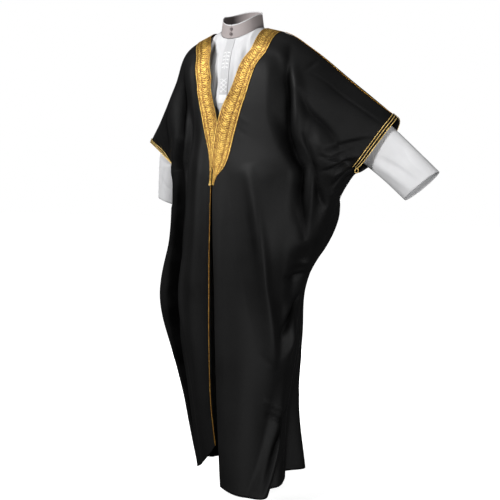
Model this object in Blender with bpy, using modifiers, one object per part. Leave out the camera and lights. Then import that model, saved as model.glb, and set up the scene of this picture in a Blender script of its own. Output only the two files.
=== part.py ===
"""A bisht, the open black cloak with gold bands, worn over a white thobe.

Metres, +Z up, the front faces -Y and the wearer's left is +X. The origin is the
middle of the neck, level with the side neck points, where a wearer holds it up.
Each panel is a grid of rows and columns over two shares: v counts the sections
down from the shoulder, t runs from the front edge or the middle to the side seam.
"""

import math
from collections import namedtuple

import bmesh
import bpy
import numpy as np

# Cloth and seams
BISHT_WALL = 0.0015
THOBE_WALL = 0.0012
BAND_WALL = 0.0012
SEAM_GAP = 0.0003
SEAM_DRAW = 0.00025
CORD_RADIUS = 0.0012
PLACKET_WIDTH = 0.030
PLACKET_FOOT = 4.0
PLACKET_DROP = 0.0015
COLLAR_HEIGHT = 0.045
COLLAR_REST = 0.0012
COLLAR_TAPER = 0.08
COLLAR_WALL = 0.0016
COLLAR_COLUMNS = 32
COLLAR_ROWS = 4
COLLAR_SPLIT = 0.0004
STUD_RADIUS = 0.0050
STUD_HEIGHT = 0.0020
STUD_SPACING = 0.016
KNOT_RADIUS = 0.0050
FACING_DEPTH = 0.034
FACING_TOP = 6.0
FACING_INSET = 0.0006
# How suddenly the back hem drops to the side seam: a power of the place t.
HEM_STEP = 9

# A section is one level of a garment: its front edge, its side seam and the back's middle.
Section = namedtuple("Section", "name edge_x edge_y edge_z side_x side_y side_z back_y back_z band")
Garment = namedtuple("Garment", "sections shoulder arc_share opening_depth opening_bow foot roll fullness hem_sag")
Fold = namedtuple("Fold", "name v_top t_top v_mid t_mid v_foot t_foot d_top d_mid d_foot half")
Ring = namedtuple("Ring", "name x y z half_height half_depth lean")

# Levels of the cloak on each side. The first six share the sleeve's open end.
BISHT_LEFT = Garment(
    sections=[
        Section("neck", 0.095, -0.078, 0.020, 0.518, 0.050, -0.272, 0.092, 0.030, 0.055),
        Section("collarbone", 0.089, -0.096, -0.045, 0.513, 0.049, -0.280, 0.120, -0.020, 0.055),
        Section("upper chest", 0.063, -0.126, -0.100, 0.498, 0.047, -0.298, 0.136, -0.090, 0.055),
        Section("chest", 0.032, -0.143, -0.198, 0.460, 0.041, -0.348, 0.147, -0.190, 0.058),
        Section("foot of the V", 0.002, -0.152, -0.291, 0.420, 0.035, -0.400, 0.152, -0.300, 0.058),
        Section("foot of the sleeve", -0.009, -0.163, -0.400, 0.388, 0.030, -0.441, 0.152, -0.400, 0.048),
        Section("waist", -0.014, -0.170, -0.478, 0.331, 0.030, -0.527, 0.153, -0.490, 0.007),
        Section("hip", -0.006, -0.182, -0.640, 0.280, 0.026, -0.671, 0.156, -0.650, 0.010),
        Section("thigh", 0.006, -0.190, -0.820, 0.213, 0.015, -0.825, 0.160, -0.820, 0.010),
        Section("knee", 0.014, -0.197, -1.000, 0.201, 0.005, -1.005, 0.165, -0.995, 0.010),
        Section("calf", 0.022, -0.200, -1.220, 0.170, -0.010, -1.230, 0.170, -1.205, 0.010),
        Section("hem", 0.032, -0.205, -1.439, 0.160, -0.020, -1.462, 0.175, -1.432, 0.010),
    ],
    shoulder=[(0.095, 0.000, 0.020), (0.172, 0.005, -0.003), (0.244, 0.011, -0.050), (0.372, 0.030, -0.155), (0.518, 0.050, -0.272)],
    arc_share=0.23,
    opening_depth=0.050,
    opening_bow=-0.016,
    foot=5,
    roll=0.070,
    fullness=1.8,
    hem_sag=0.016,
)
BISHT_RIGHT = Garment(
    sections=[
        Section("neck", -0.095, -0.078, 0.014, -0.414, 0.070, -0.338, 0.092, 0.030, 0.055),
        Section("collarbone", -0.061, -0.114, -0.045, -0.408, 0.067, -0.342, 0.120, -0.020, 0.052),
        Section("upper chest", -0.056, -0.131, -0.100, -0.388, 0.060, -0.354, 0.136, -0.090, 0.048),
        Section("chest", -0.030, -0.143, -0.198, -0.335, 0.040, -0.386, 0.147, -0.190, 0.047),
        Section("foot of the V", -0.006, -0.152, -0.291, -0.280, 0.018, -0.420, 0.152, -0.300, 0.044),
        Section("foot of the sleeve", -0.016, -0.163, -0.400, -0.236, 0.005, -0.445, 0.152, -0.400, 0.015),
        Section("waist", -0.019, -0.170, -0.478, -0.228, 0.000, -0.505, 0.153, -0.490, 0.007),
        Section("hip", -0.018, -0.182, -0.640, -0.240, 0.000, -0.660, 0.156, -0.650, 0.010),
        Section("thigh", -0.016, -0.190, -0.820, -0.284, 0.000, -0.855, 0.160, -0.820, 0.010),
        Section("knee", -0.012, -0.197, -1.000, -0.238, 0.000, -1.040, 0.165, -0.995, 0.010),
        Section("calf", -0.006, -0.198, -1.170, -0.185, 0.000, -1.225, 0.170, -1.205, 0.010),
        Section("hem", 0.010, -0.195, -1.310, -0.140, 0.000, -1.418, 0.175, -1.432, 0.010),
    ],
    shoulder=[
        (-0.095, 0.000, 0.014),
        (-0.190, 0.004, -0.032),
        (-0.240, 0.034, -0.122),
        (-0.320, 0.056, -0.232),
        (-0.414, 0.070, -0.338),
    ],
    arc_share=0.23,
    opening_depth=0.046,
    opening_bow=0.020,
    foot=5,
    roll=0.062,
    fullness=1.8,
    hem_sag=0.0,
)

# The thobe hangs inside; its armhole edges are upright ovals.
THOBE = Garment(
    sections=[
        Section("neck", 0.0, -0.077, -0.014, 0.196, 0.000, -0.054, 0.072, 0.045, 0.0),
        Section("collarbone", 0.0, -0.099, -0.060, 0.196, 0.000, -0.070, 0.098, 0.000, 0.0),
        Section("upper chest", 0.0, -0.116, -0.115, 0.196, 0.000, -0.118, 0.116, -0.080, 0.0),
        Section("chest", 0.0, -0.126, -0.185, 0.196, 0.000, -0.188, 0.126, -0.170, 0.0),
        Section("underarm", 0.0, -0.130, -0.240, 0.196, 0.000, -0.235, 0.128, -0.235, 0.0),
        Section("waist", 0.0, -0.128, -0.450, 0.186, 0.000, -0.450, 0.120, -0.450, 0.0),
        Section("hip", 0.0, -0.130, -0.720, 0.165, 0.000, -0.720, 0.118, -0.720, 0.0),
        Section("knee", 0.0, -0.120, -1.000, 0.130, 0.000, -1.000, 0.108, -1.000, 0.0),
        Section("hem", 0.0, -0.115, -1.270, 0.108, 0.000, -1.270, 0.100, -1.270, 0.0),
    ],
    shoulder=[(0.068, 0.000, 0.0237), (0.134, 0.000, -0.0090), (0.196, 0.000, -0.054)],
    arc_share=0.40,
    opening_depth=0.066,
    opening_bow=0.0,
    foot=4,
    roll=0.060,
    fullness=1.1,
    hem_sag=0.0,
)

# Folds of the cloth: where each runs (level v, place t), how far out or in, and half its width.
LEFT_FOLDS = [
    Fold("shoulder ridge", 0.6, 0.20, 3.3, 0.53, 6.2, 0.68, 0.003, 0.012, 0.006, 0.10),
    Fold("shoulder valley", 1.2, 0.22, 3.5, 0.43, 6.4, 0.60, -0.004, -0.018, -0.010, 0.11),
    Fold("underarm valley", 3.1, 0.57, 4.8, 0.62, 6.3, 0.80, -0.006, -0.016, -0.008, 0.11),
    Fold("underarm ridge", 3.2, 0.70, 4.9, 0.76, 6.6, 0.88, 0.004, 0.010, 0.006, 0.14),
    Fold("long front ridge", 4.8, 0.20, 7.2, 0.40, 9.6, 0.70, 0.006, 0.016, 0.006, 0.20),
    Fold("hip tuck", 7.0, 0.72, 7.6, 0.80, 8.2, 0.86, -0.004, -0.016, -0.004, 0.16),
    Fold("knee swell", 8.1, 0.86, 8.8, 0.84, 9.4, 0.84, 0.004, 0.022, 0.004, 0.16),
    Fold("front layer ridge", 9.3, 0.92, 10.3, 0.80, 11.3, 0.48, 0.004, 0.024, 0.032, 0.20),
    Fold("side layer valley", 9.9, 0.96, 10.6, 0.90, 11.3, 0.74, -0.002, -0.014, -0.024, 0.16),
]
RIGHT_FOLDS = [
    Fold("shoulder ridge", 0.8, 0.14, 4.4, 0.15, 9.8, 0.16, 0.003, 0.009, 0.010, 0.11),
    Fold("deep valley", 1.8, 0.24, 4.5, 0.40, 10.6, 0.35, -0.003, -0.027, -0.014, 0.11),
    Fold("outer ridge", 1.4, 0.46, 4.4, 0.63, 9.4, 0.60, 0.007, 0.022, 0.014, 0.18),
]
BACK_LEFT_FOLDS = [
    Fold("middle pleat", 0.5, 0.00, 5.0, 0.00, 11.3, 0.00, 0.001, 0.005, 0.014, 0.10),
    Fold("shoulder blade valley", 1.2, 0.42, 5.2, 0.30, 11.3, 0.22, -0.003, -0.012, -0.018, 0.14),
    Fold("back ridge", 1.6, 0.58, 5.4, 0.48, 11.3, 0.40, 0.003, 0.014, 0.014, 0.14),
    Fold("back outer valley", 3.2, 0.66, 6.4, 0.62, 9.4, 0.56, -0.003, -0.014, -0.006, 0.13),
    Fold("side bulge", 5.95, 0.79, 6.35, 0.80, 7.3, 0.82, 0.004, 0.020, 0.004, 0.18),
    Fold("side back ridge", 9.0, 0.72, 10.0, 0.69, 11.3, 0.66, 0.002, 0.022, 0.060, 0.17),
    Fold("side back valley", 8.6, 0.90, 9.8, 0.86, 11.3, 0.82, -0.002, -0.008, -0.018, 0.14),
]
BACK_RIGHT_FOLDS = [
    Fold("middle pleat", 0.5, 0.00, 5.0, 0.00, 11.3, 0.00, 0.001, 0.005, 0.014, 0.10),
    Fold("shoulder blade valley", 1.2, 0.40, 5.2, 0.34, 11.3, 0.26, -0.003, -0.011, -0.016, 0.15),
    Fold("back ridge", 1.6, 0.60, 5.4, 0.56, 11.3, 0.50, 0.003, 0.013, 0.018, 0.15),
    Fold("side back ridge", 5.4, 0.78, 8.0, 0.80, 11.3, 0.80, 0.004, 0.012, 0.010, 0.14),
]
THOBE_FOLDS = [
    Fold("gather left of the placket", 0.2, 0.16, 1.6, 0.18, 3.6, 0.22, 0.001, 0.003, 0.001, 0.07),
    Fold("front ridge", 3.4, 0.45, 5.8, 0.42, 8.3, 0.40, 0.001, 0.004, 0.010, 0.16),
    Fold("front valley", 3.4, 0.70, 5.8, 0.70, 8.3, 0.68, -0.001, -0.003, -0.008, 0.14),
]

# The thobe's sleeves, ring by ring along each arm, with the lean of the ring from upright.
SLEEVE_LEFT = [
    Ring("armhole", 0.19757, 0.000, -0.1445, 0.0905, 0.066, -0.8),
    Ring("armhole seam", 0.2045, 0.000, -0.1445, 0.0905, 0.066, -0.8),
    Ring("upper arm", 0.262, 0.004, -0.188, 0.084, 0.054, 22.0),
    Ring("above the elbow", 0.336, 0.014, -0.250, 0.079, 0.043, 38.0),
    Ring("elbow", 0.408, 0.026, -0.309, 0.076, 0.036, 41.0),
    Ring("cloak's opening", 0.470, 0.036, -0.362, 0.073, 0.033, 41.0),
    Ring("forearm", 0.540, 0.028, -0.418, 0.069, 0.038, 42.0),
    Ring("hem", 0.613, 0.018, -0.480, 0.068, 0.042, 50.0),
]
SLEEVE_RIGHT = [
    Ring("armhole", -0.19757, 0.000, -0.1445, 0.0905, 0.066, 0.8),
    Ring("armhole seam", -0.2020, 0.000, -0.1445, 0.0905, 0.066, 0.8),
    Ring("upper arm", -0.220, 0.010, -0.182, 0.062, 0.054, -10.0),
    Ring("above the elbow", -0.240, 0.022, -0.224, 0.051, 0.044, -24.0),
    Ring("elbow", -0.274, 0.033, -0.292, 0.045, 0.036, -46.0),
    Ring("cloak's opening", -0.308, 0.036, -0.380, 0.042, 0.031, -74.0),
    Ring("forearm", -0.318, 0.043, -0.455, 0.043, 0.034, -79.0),
    Ring("hem", -0.328, 0.050, -0.541, 0.043, 0.034, -70.0),
]

# Rows of faces in each section of the cloak and of the thobe.
BISHT_ROWS = (5, 2, 2, 3, 3, 2, 3, 2, 2, 2, 2)
THOBE_ROWS = (4, 2, 2, 2, 2, 2, 2, 2)
LEFT_COLUMNS = 19
RIGHT_COLUMNS = 16
ARC_COLUMNS = 4
THOBE_COLUMNS = 8
THOBE_ARC_COLUMNS = 4
SLEEVE_SIDES = 16


def smooth(xs, ys, x):
    """A curve through the points (xs, ys) whose slope follows its neighbours."""
    xs, ys = np.asarray(xs, float), np.asarray(ys, float)
    step = np.diff(xs)
    slope = np.diff(ys) / step
    tangent = np.empty_like(ys)
    tangent[0], tangent[-1] = slope[0], slope[-1]
    tangent[1:-1] = (slope[:-1] * step[1:] + slope[1:] * step[:-1]) / (step[:-1] + step[1:])
    x = np.clip(np.asarray(x, float), xs[0], xs[-1])
    i = np.clip(np.searchsorted(xs, x, side="right") - 1, 0, len(xs) - 2)
    h = step[i]
    s = (x - xs[i]) / h
    return (
        ys[i] * (2 * s**3 - 3 * s**2 + 1)
        + tangent[i] * h * (s**3 - 2 * s**2 + s)
        + ys[i + 1] * (3 * s**2 - 2 * s**3)
        + tangent[i + 1] * h * (s**3 - s**2)
    )


def ease(x):
    """A soft step from 0 to 1."""
    x = np.clip(x, 0, 1)
    return x * x * (3 - 2 * x)


def column(garment, name, v):
    """A named column of the garment's table at level v, counted in sections."""
    values = [getattr(s, name) for s in garment.sections]
    return smooth(range(len(values)), values, v)


def along(points, share):
    """Points on a smooth line through a few points, by share of its length."""
    points = np.asarray(points, float)
    reach = np.concatenate([[0], np.cumsum(np.linalg.norm(np.diff(points, axis=0), axis=1))])
    return np.stack([smooth(reach / reach[-1], points[:, i], share) for i in range(3)], -1)


def top_line(garment, arc, t):
    """The upper edge of a panel: the neckline's arc from its middle, then the shoulder."""
    if arc is None:
        return along(garment.shoulder, t)
    n = garment.arc_share
    arc_y, arc_z = arc
    near = np.array(garment.shoulder[0])
    a = np.clip(1 - t / n, 0, 1) * math.pi / 2
    x = near[0] * np.cos(a)
    y = near[1] + (arc_y - near[1]) * np.sin(a)
    z = near[2] + (arc_z - near[2]) * np.sin(a) ** 1.5
    neckline = np.stack([x, y, z], -1)
    return np.where((t < n)[..., None], neckline, along(garment.shoulder, np.clip((t - n) / (1 - n), 0, 1)))


def base_surface(garment, face, t, v):
    """The cloth before its folds. Face is open front, closed front or back."""
    t, v = np.broadcast_arrays(np.asarray(t, float), np.asarray(v, float))
    first = garment.sections[0]
    foot = garment.foot
    k = ease((v / foot - 0.62) / 0.38)
    m = (1 - k) * t + k * np.sin(t * math.pi / 2)
    drop = (1 - k) * (1 - t**garment.fullness) + k * np.cos(t * math.pi / 2)
    last = ease(v - len(garment.sections) + 2)
    rear = (1 - last) * m**4 + last * t**HEM_STEP
    fall = (1 - k) * m + k * (rear if face == "back" else m * (2 - m))
    side = [column(garment, "side_" + a, v) for a in "xyz"]
    if face == "back":
        edge = [0 * v, column(garment, "back_y", v), column(garment, "back_z", v)]
        top = top_line(garment, (first.back_y, first.back_z), t)
        start = (0.0, first.back_z)
    else:
        edge = [column(garment, "edge_" + a, v) for a in "xyz"]
        arc = (first.edge_y, first.edge_z) if face == "closed front" else None
        top = top_line(garment, arc, t)
        start = (first.edge_x, first.edge_z)
    top_z, foot_z = first.side_z, garment.sections[foot].side_z
    share = np.clip((top_z - side[2]) / (top_z - foot_z), 0, 1)
    oval = np.sqrt(np.clip(1 - (1 - 2 * share) ** 2, 0, 1)) * (v < foot)
    sign = 1 if face == "back" else -1
    side_y = side[1] + sign * garment.opening_depth * oval
    lift = 1 - np.clip(v / foot, 0, 1)
    flat_x = start[0] + (first.side_x - start[0]) * t
    flat_z = start[1] + (first.side_z - start[1]) * t
    bow = garment.opening_bow * oval * t**4
    x = edge[0] + (side[0] - edge[0]) * m + (top[..., 0] - flat_x) * lift - bow * math.copysign(0.6, first.side_x)
    z = edge[2] + (side[2] - edge[2]) * fall + (top[..., 2] - flat_z) * lift + bow * 0.8
    if face == "open front":
        z = z - garment.hem_sag * last * np.sin(t * math.pi)
    section_y = side_y + (edge[1] - side_y) * drop
    below = np.hypot(x - top[..., 0], z - top[..., 2])
    radius = garment.roll * (1 - 0.3 * t)
    roll = np.sqrt(1 - (1 - np.clip(below / radius, 0, 1)) ** 2)
    roll = roll + (1 - roll) * t**3
    y = top[..., 1] + (section_y - top[..., 1]) * roll
    return np.stack([x, y, z], -1)


def fold_depth(folds, t, v):
    """How far the folds move the cloth out (ridges) or in (valleys) at t, v."""
    total = np.zeros(np.broadcast(t, v).shape)
    for f in folds:
        levels = [f.v_top, f.v_mid, f.v_foot]
        centre = smooth(levels, [f.t_top, f.t_mid, f.t_foot], v)
        depth = smooth(levels, [f.d_top, f.d_mid, f.d_foot], v)
        reach = (levels[2] - levels[0]) * 0.14
        inside = ease((v - levels[0] + reach) / (2 * reach)) * ease((levels[2] + reach - v) / (2 * reach))
        across = np.clip(np.abs(t - centre) / f.half, 0, 1)
        total = total + depth * inside * (0.5 + 0.5 * np.cos(across * math.pi))
    return total * ease((1 - t) / 0.20) * ease(v / 1.2)


def grid_normals(points, outward):
    """Unit normals of a grid of points, on the side of the outward direction."""
    n = np.cross(np.gradient(points, axis=1), np.gradient(points, axis=0))
    n = n / np.maximum(np.linalg.norm(n, axis=2, keepdims=True), 1e-12)
    facing = (n * np.asarray(outward, float)).sum()
    return n if facing > 0 else -n


def surface(garment, face, folds, t, v, outward):
    points = base_surface(garment, face, t, v)
    return points + grid_normals(points, outward) * fold_depth(folds, t, v)[..., None]


def row_levels(counts):
    """Levels of the rows: even in each section, close together at the shoulder."""
    levels = [1 - math.cos(j / counts[0] * math.pi / 2) for j in range(counts[0])]
    for i, n in enumerate(counts[1:], 1):
        levels += [i + j / n for j in range(n)]
    return np.array(levels + [len(counts)])


def front_places(garment, v, count):
    """Column places t on each row: three across the gold band, then even ones to the side."""
    first = base_surface(garment, "open front", 0.0, v)
    last = base_surface(garment, "open front", 1.0, v)
    k = ease((v / garment.foot - 0.62) / 0.38)
    near = column(garment, "band", v) / np.linalg.norm(last - first, axis=-1)
    near = near * ((1 - k) + k * 2 / math.pi)
    band = near[:, None] * np.array([[0, 1 / 3, 2 / 3, 1]])
    rest = near[:, None] + (1 - near[:, None]) * np.linspace(0, 1, count - 3)[None, 1:]
    return np.concatenate([band, rest], 1)


def draw_in(points, edges, amount):
    """Pull named edges of a grid towards its middle, which leaves the seam's gap."""
    points = points.copy()
    for edge in edges:
        here, inner = {"top": (0, 1), "foot": (-1, -2), "first": (0, 1), "last": (-1, -2)}[edge]
        if edge in ("top", "foot"):
            step = points[inner] - points[here]
            points[here] += step / np.linalg.norm(step, axis=1, keepdims=True) * amount
        else:
            step = points[:, inner] - points[:, here]
            points[:, here] += step / np.linalg.norm(step, axis=1, keepdims=True) * amount
    return points


def material(name, colour, roughness, metallic=0.0):
    made = bpy.data.materials.new(name)
    made.use_nodes = True
    shader = made.node_tree.nodes["Principled BSDF"]
    shader.inputs["Base Color"].default_value = (*colour, 1)
    shader.inputs["Roughness"].default_value = roughness
    shader.inputs["Metallic"].default_value = metallic
    made.diffuse_color = (*colour, 1)
    return made


def add_object(name, data, finish):
    made = bpy.data.objects.new(name, data)
    data.materials.append(finish)
    PARTS.objects.link(made)
    return made


def cloth(name, points, finish, wall, outward, ring=False):
    """A wall of cloth inside a grid of points, rows by columns; a ring joins its last column to its first."""
    rows, columns = points.shape[:2]
    bm = bmesh.new()
    bmesh.ops.create_grid(bm, x_segments=columns - 1, y_segments=rows - 1, size=1)
    for vert in bm.verts:
        i = round((vert.co.x + 1) / 2 * (columns - 1))
        j = round((1 - vert.co.y) / 2 * (rows - 1))
        vert.co = points[j, i]
    if ring:
        bmesh.ops.remove_doubles(bm, verts=bm.verts, dist=0.00005)
    bmesh.ops.triangulate(bm, faces=bm.faces, quad_method="SHORT_EDGE")
    bm.normal_update()
    facing = 0.0
    for f in bm.faces:
        middle = f.calc_center_median()
        row = points[np.linalg.norm(points.mean(axis=1) - np.array(middle), axis=1).argmin()]
        away = np.array(middle) - row.mean(axis=0) if ring else np.array(outward, float)
        facing += float(np.array(f.normal) @ away) * f.calc_area()
    if facing < 0:
        bmesh.ops.reverse_faces(bm, faces=bm.faces)
    mesh = bpy.data.meshes.new(name)
    bm.to_mesh(mesh)
    bm.free()
    mesh.shade_smooth()
    made = add_object(name, mesh, finish)
    thick = made.modifiers.new("Wall", "SOLIDIFY")
    thick.thickness = wall
    thick.offset = -1
    thick.use_even_offset = True
    return made


def laid_on(name, points, normals, finish, wall, gap=SEAM_GAP):
    """A strip on top of a panel's points, its inner face the seam's gap away."""
    lifted = points + normals * (gap + wall)
    return cloth(name, lifted, finish, wall, normals.reshape(-1, 3).sum(axis=0))


def cord(name, line, finish, radius):
    curve = bpy.data.curves.new(name, "CURVE")
    curve.dimensions = "3D"
    curve.bevel_depth = radius
    curve.bevel_resolution = 1
    curve.use_fill_caps = True
    spline = curve.splines.new("POLY")
    spline.points.add(len(line) - 1)
    for point, place in zip(spline.points, line):
        point.co = (*place, 1)
    return add_object(name, curve, finish)


for old in list(bpy.data.objects):
    bpy.data.objects.remove(old)
PARTS = bpy.data.collections.new("bisht_over_thobe")
bpy.context.scene.collection.children.link(PARTS)

BLACK = material("bisht cloth", (0.012, 0.012, 0.013), 0.75)
WHITE = material("thobe cotton", (0.82, 0.82, 0.84), 0.8)
GOLD = material("gold embroidery", (0.72, 0.44, 0.08), 0.4, 0.6)
PALE_GOLD = material("pale gold cord", (0.78, 0.62, 0.30), 0.4, 0.6)
STUD = material("pearl stud", (0.75, 0.75, 0.72), 0.3)

V = row_levels(BISHT_ROWS)
BAND_COLUMNS = slice(0, 4)


# The cloak's panels
def bisht_front(name, garment, folds, count):
    t = front_places(garment, V, count)
    points = surface(garment, "open front", folds, t, V[:, None] + 0 * t, (0, -1, 0))
    cloth(name, draw_in(points, ["top", "last"], SEAM_DRAW), BLACK, BISHT_WALL, (0, -1, 0))
    return t, points, grid_normals(points, (0, -1, 0))


def back_half(garment, folds, shoulder_places):
    n = garment.arc_share
    places = np.concatenate([np.linspace(0, n, ARC_COLUMNS, endpoint=False), n + (1 - n) * shoulder_places])
    t = places[None, :] + 0 * V[:, None]
    v = V[:, None] + 0 * t
    return t, surface(garment, "back", folds, t, v, (0, 1, 0))


t_left, left, left_out = bisht_front("bisht_front_left", BISHT_LEFT, LEFT_FOLDS, LEFT_COLUMNS)
t_right, right, right_out = bisht_front("bisht_front_right", BISHT_RIGHT, RIGHT_FOLDS, RIGHT_COLUMNS)
t_back_left, back_left = back_half(BISHT_LEFT, BACK_LEFT_FOLDS, t_left[0])
t_back_right, back_right = back_half(BISHT_RIGHT, BACK_RIGHT_FOLDS, t_right[0])
back = np.concatenate([back_right[:, :0:-1], back_left], axis=1)
back_out = grid_normals(back, (0, 1, 0))
cloth("bisht_back", draw_in(back, ["top", "first", "last"], SEAM_DRAW), BLACK, BISHT_WALL, (0, 1, 0))
MIDDLE = back_right.shape[1] - 1


# Facings: the front edges' turned-in hems, which show as dark cloth inside the slit
def facing(name, garment, points, normals):
    rows = slice(int(np.argmin(np.abs(V - FACING_TOP))), None)
    edge = points[rows, 0] - normals[rows, 0] * (BISHT_WALL + SEAM_GAP)
    aside = np.array([math.copysign(FACING_INSET, garment.sections[0].edge_x), 0, 0])
    depth = np.linspace(0, FACING_DEPTH, 3)[None, :, None]
    strip = edge[:, None] + aside - normals[rows, :1] * depth
    cloth(name, strip, BLACK, BISHT_WALL, -aside)


facing("facing_left", BISHT_LEFT, left, left_out)
facing("facing_right", BISHT_RIGHT, right, right_out)


# Gold bands along the V and round the neck
V_FOOT = int(np.argmin(np.abs(V - 6)))
for name, points, normals in (("band_left", left, left_out), ("band_right", right, right_out)):
    rows = slice(0, V_FOOT + 1)
    laid_on(name, points[rows, BAND_COLUMNS], normals[rows, BAND_COLUMNS], GOLD, BAND_WALL)
NECK_ROWS = slice(0, 6)
NECK_PLACES = slice(MIDDLE - ARC_COLUMNS - 3, MIDDLE + ARC_COLUMNS + 4)
laid_on("band_neck", back[NECK_ROWS, NECK_PLACES], back_out[NECK_ROWS, NECK_PLACES], GOLD, BAND_WALL)


# The thobe's panels
VT = row_levels(THOBE_ROWS)


def thobe_panel(name, face, outward):
    n = THOBE.arc_share
    near = PLACKET_WIDTH / 2 / (base_surface(THOBE, face, 0.05, VT)[:, 0] / 0.05)
    arc = near[:, None] + (n - near[:, None]) * np.linspace(0, 1, THOBE_ARC_COLUMNS)[None, :-1]
    rest = np.linspace(n, 1, THOBE_COLUMNS)[None, :] + 0 * near[:, None]
    t = np.concatenate([0 * near[:, None], arc, rest], 1)
    one = surface(THOBE, face, THOBE_FOLDS, t, VT[:, None] + 0 * t, outward)
    points = np.concatenate([(one * (-1, 1, 1))[:, :0:-1], one], axis=1)
    cloth(name, draw_in(points, ["top", "first", "last"], SEAM_DRAW), WHITE, THOBE_WALL, outward)
    return points, grid_normals(points, outward)


thobe_front, thobe_front_out = thobe_panel("thobe_front", "closed front", (0, -1, 0))
thobe_back, thobe_back_out = thobe_panel("thobe_back", "back", (0, 1, 0))


def sleeve(name, rings):
    """A tube of oval rings along the arm, two rows of faces between each pair."""
    values = np.array([r[1:] for r in rings], float)
    steps = np.concatenate([[0], np.linspace(1, len(rings) - 1, 2 * len(rings) - 3)])
    x, y, z, height, depth, lean = (smooth(range(len(rings)), values[:, i], steps) for i in range(6))
    turn = np.linspace(0, 2 * math.pi, SLEEVE_SIDES + 1)
    up_x, up_z = np.sin(np.radians(lean)), np.cos(np.radians(lean))
    points = np.stack(
        [
            x[:, None] + (height * up_x)[:, None] * np.cos(turn),
            y[:, None] + depth[:, None] * np.sin(turn),
            z[:, None] + (height * up_z)[:, None] * np.cos(turn),
        ],
        -1,
    )
    cloth(name, points, WHITE, THOBE_WALL, None, ring=True)
    return points


sleeve("thobe_sleeve_left", SLEEVE_LEFT)
sleeve("thobe_sleeve_right", SLEEVE_RIGHT)


# The thobe's stand collar, its placket and the two studs
def collar_ring(height):
    """The collar's edge at a height above the neckline, from the front's middle round to it again."""
    arcs = []
    for face, arc_y, arc_z, start in (
        ("front", THOBE.sections[0].edge_y, THOBE.sections[0].edge_z, 0),
        ("back", THOBE.sections[0].back_y, THOBE.sections[0].back_z, 1),
    ):
        turn = np.linspace(0, 1, COLLAR_COLUMNS // 4 + 1) * THOBE.arc_share
        line = top_line(THOBE, (arc_y, arc_z), turn if start == 0 else turn[::-1])
        arcs.append(line)
    half = np.concatenate([arcs[0], arcs[1][1:]])
    ring = np.concatenate([half, (half * (-1, 1, 1))[-2::-1]])
    narrow = 1 - COLLAR_TAPER * height / COLLAR_HEIGHT
    return ring * (narrow, narrow, 1) + (0, 0, height)


collar = np.stack([collar_ring(h) for h in np.linspace(COLLAR_HEIGHT, COLLAR_REST, COLLAR_ROWS)])
collar[:, 0] += (COLLAR_SPLIT, 0, 0)
collar[:, -1] -= (COLLAR_SPLIT, 0, 0)
cloth("thobe_collar", collar, WHITE, COLLAR_WALL, None, ring=True)

placket_rows = slice(0, int(np.argmin(np.abs(VT - PLACKET_FOOT))) + 1)
middle = thobe_front.shape[1] // 2
strip = draw_in(thobe_front[placket_rows, middle - 1 : middle + 2], ["top"], PLACKET_DROP)
laid_on("thobe_placket", strip, thobe_front_out[placket_rows, middle - 1 : middle + 2], WHITE, THOBE_WALL)


def disc(name, place, facing, radius, height, finish):
    """A round stud standing on a surface at a place, its face turned outward."""
    bm = bmesh.new()
    bmesh.ops.create_cone(
        bm, cap_ends=True, segments=16, radius1=radius, radius2=radius * 0.8, depth=height
    )
    mesh = bpy.data.meshes.new(name)
    bm.to_mesh(mesh)
    bm.free()
    made = add_object(name, mesh, finish)
    facing = np.asarray(facing, float) / np.linalg.norm(facing)
    middle = np.asarray(place) + facing * (SEAM_GAP + height / 2)
    made.location = middle
    made.rotation_euler = (math.acos(facing[2]), 0, math.atan2(facing[0], -facing[1]))
    return made


for name, up in (("collar_stud_upper", 0.031), ("collar_stud_lower", 0.031 - STUD_SPACING)):
    narrow = 1 - COLLAR_TAPER * up / COLLAR_HEIGHT
    place = (0.0, THOBE.sections[0].edge_y * narrow, THOBE.sections[0].edge_z + up)
    disc(name, place, (0, -1, 0.08), STUD_RADIUS, STUD_HEIGHT, STUD)


# Gold cords and the sleeve trims
V_START = int(np.argmin(np.abs(V - 6))) + 1
edge_line = right[V_START:, 0] + right_out[V_START:, 0] * (SEAM_GAP + CORD_RADIUS)
cord("front_cord_right", edge_line, GOLD, CORD_RADIUS)

for name, points, normals in (
    ("shoulder_cord_left", left, left_out + back_out[:, -LEFT_COLUMNS:]),
    ("shoulder_cord_right", right, right_out + back_out[:, RIGHT_COLUMNS - 1 :: -1]),
):
    up = normals[0, 4:-3] / np.linalg.norm(normals[0, 4:-3], axis=1, keepdims=True)
    line = points[0, 4:-3] + up * (3 * SEAM_GAP + CORD_RADIUS)
    cord(name, line, GOLD, CORD_RADIUS)


def sleeve_trim(name, front, front_out, rear, rear_out):
    """A strip on the sleeve's end, from the underarm up the front and down the back."""
    last = int(np.argmin(np.abs(V - 4.5))) + 1
    points = np.concatenate([front[last:0:-1, -2:], rear[:last, -2:]])
    normals = np.concatenate([front_out[last:0:-1, -2:], rear_out[:last, -2:]])
    normals[last] = front_out[0, -2:] + rear_out[0, -2:]
    normals = normals / np.linalg.norm(normals, axis=2, keepdims=True)
    laid_on(name, points, normals, PALE_GOLD, BAND_WALL, 3 * SEAM_GAP)


rear_left, rear_left_out = back[:, MIDDLE:], back_out[:, MIDDLE:]
rear_right, rear_right_out = back[:, MIDDLE::-1], back_out[:, MIDDLE::-1]
sleeve_trim("sleeve_trim_left", left, left_out, rear_left, rear_left_out)
sleeve_trim("sleeve_trim_right", right, right_out, rear_right, rear_right_out)

knot_place = right[V_START - 1, 0] + right_out[V_START - 1, 0] * (2 * SEAM_GAP + BAND_WALL + KNOT_RADIUS)
bm = bmesh.new()
bmesh.ops.create_icosphere(bm, subdivisions=2, radius=KNOT_RADIUS)
mesh = bpy.data.meshes.new("front_knot")
bm.to_mesh(mesh)
bm.free()
knot = add_object("front_knot", mesh, PALE_GOLD)
knot.location = knot_place
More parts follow.
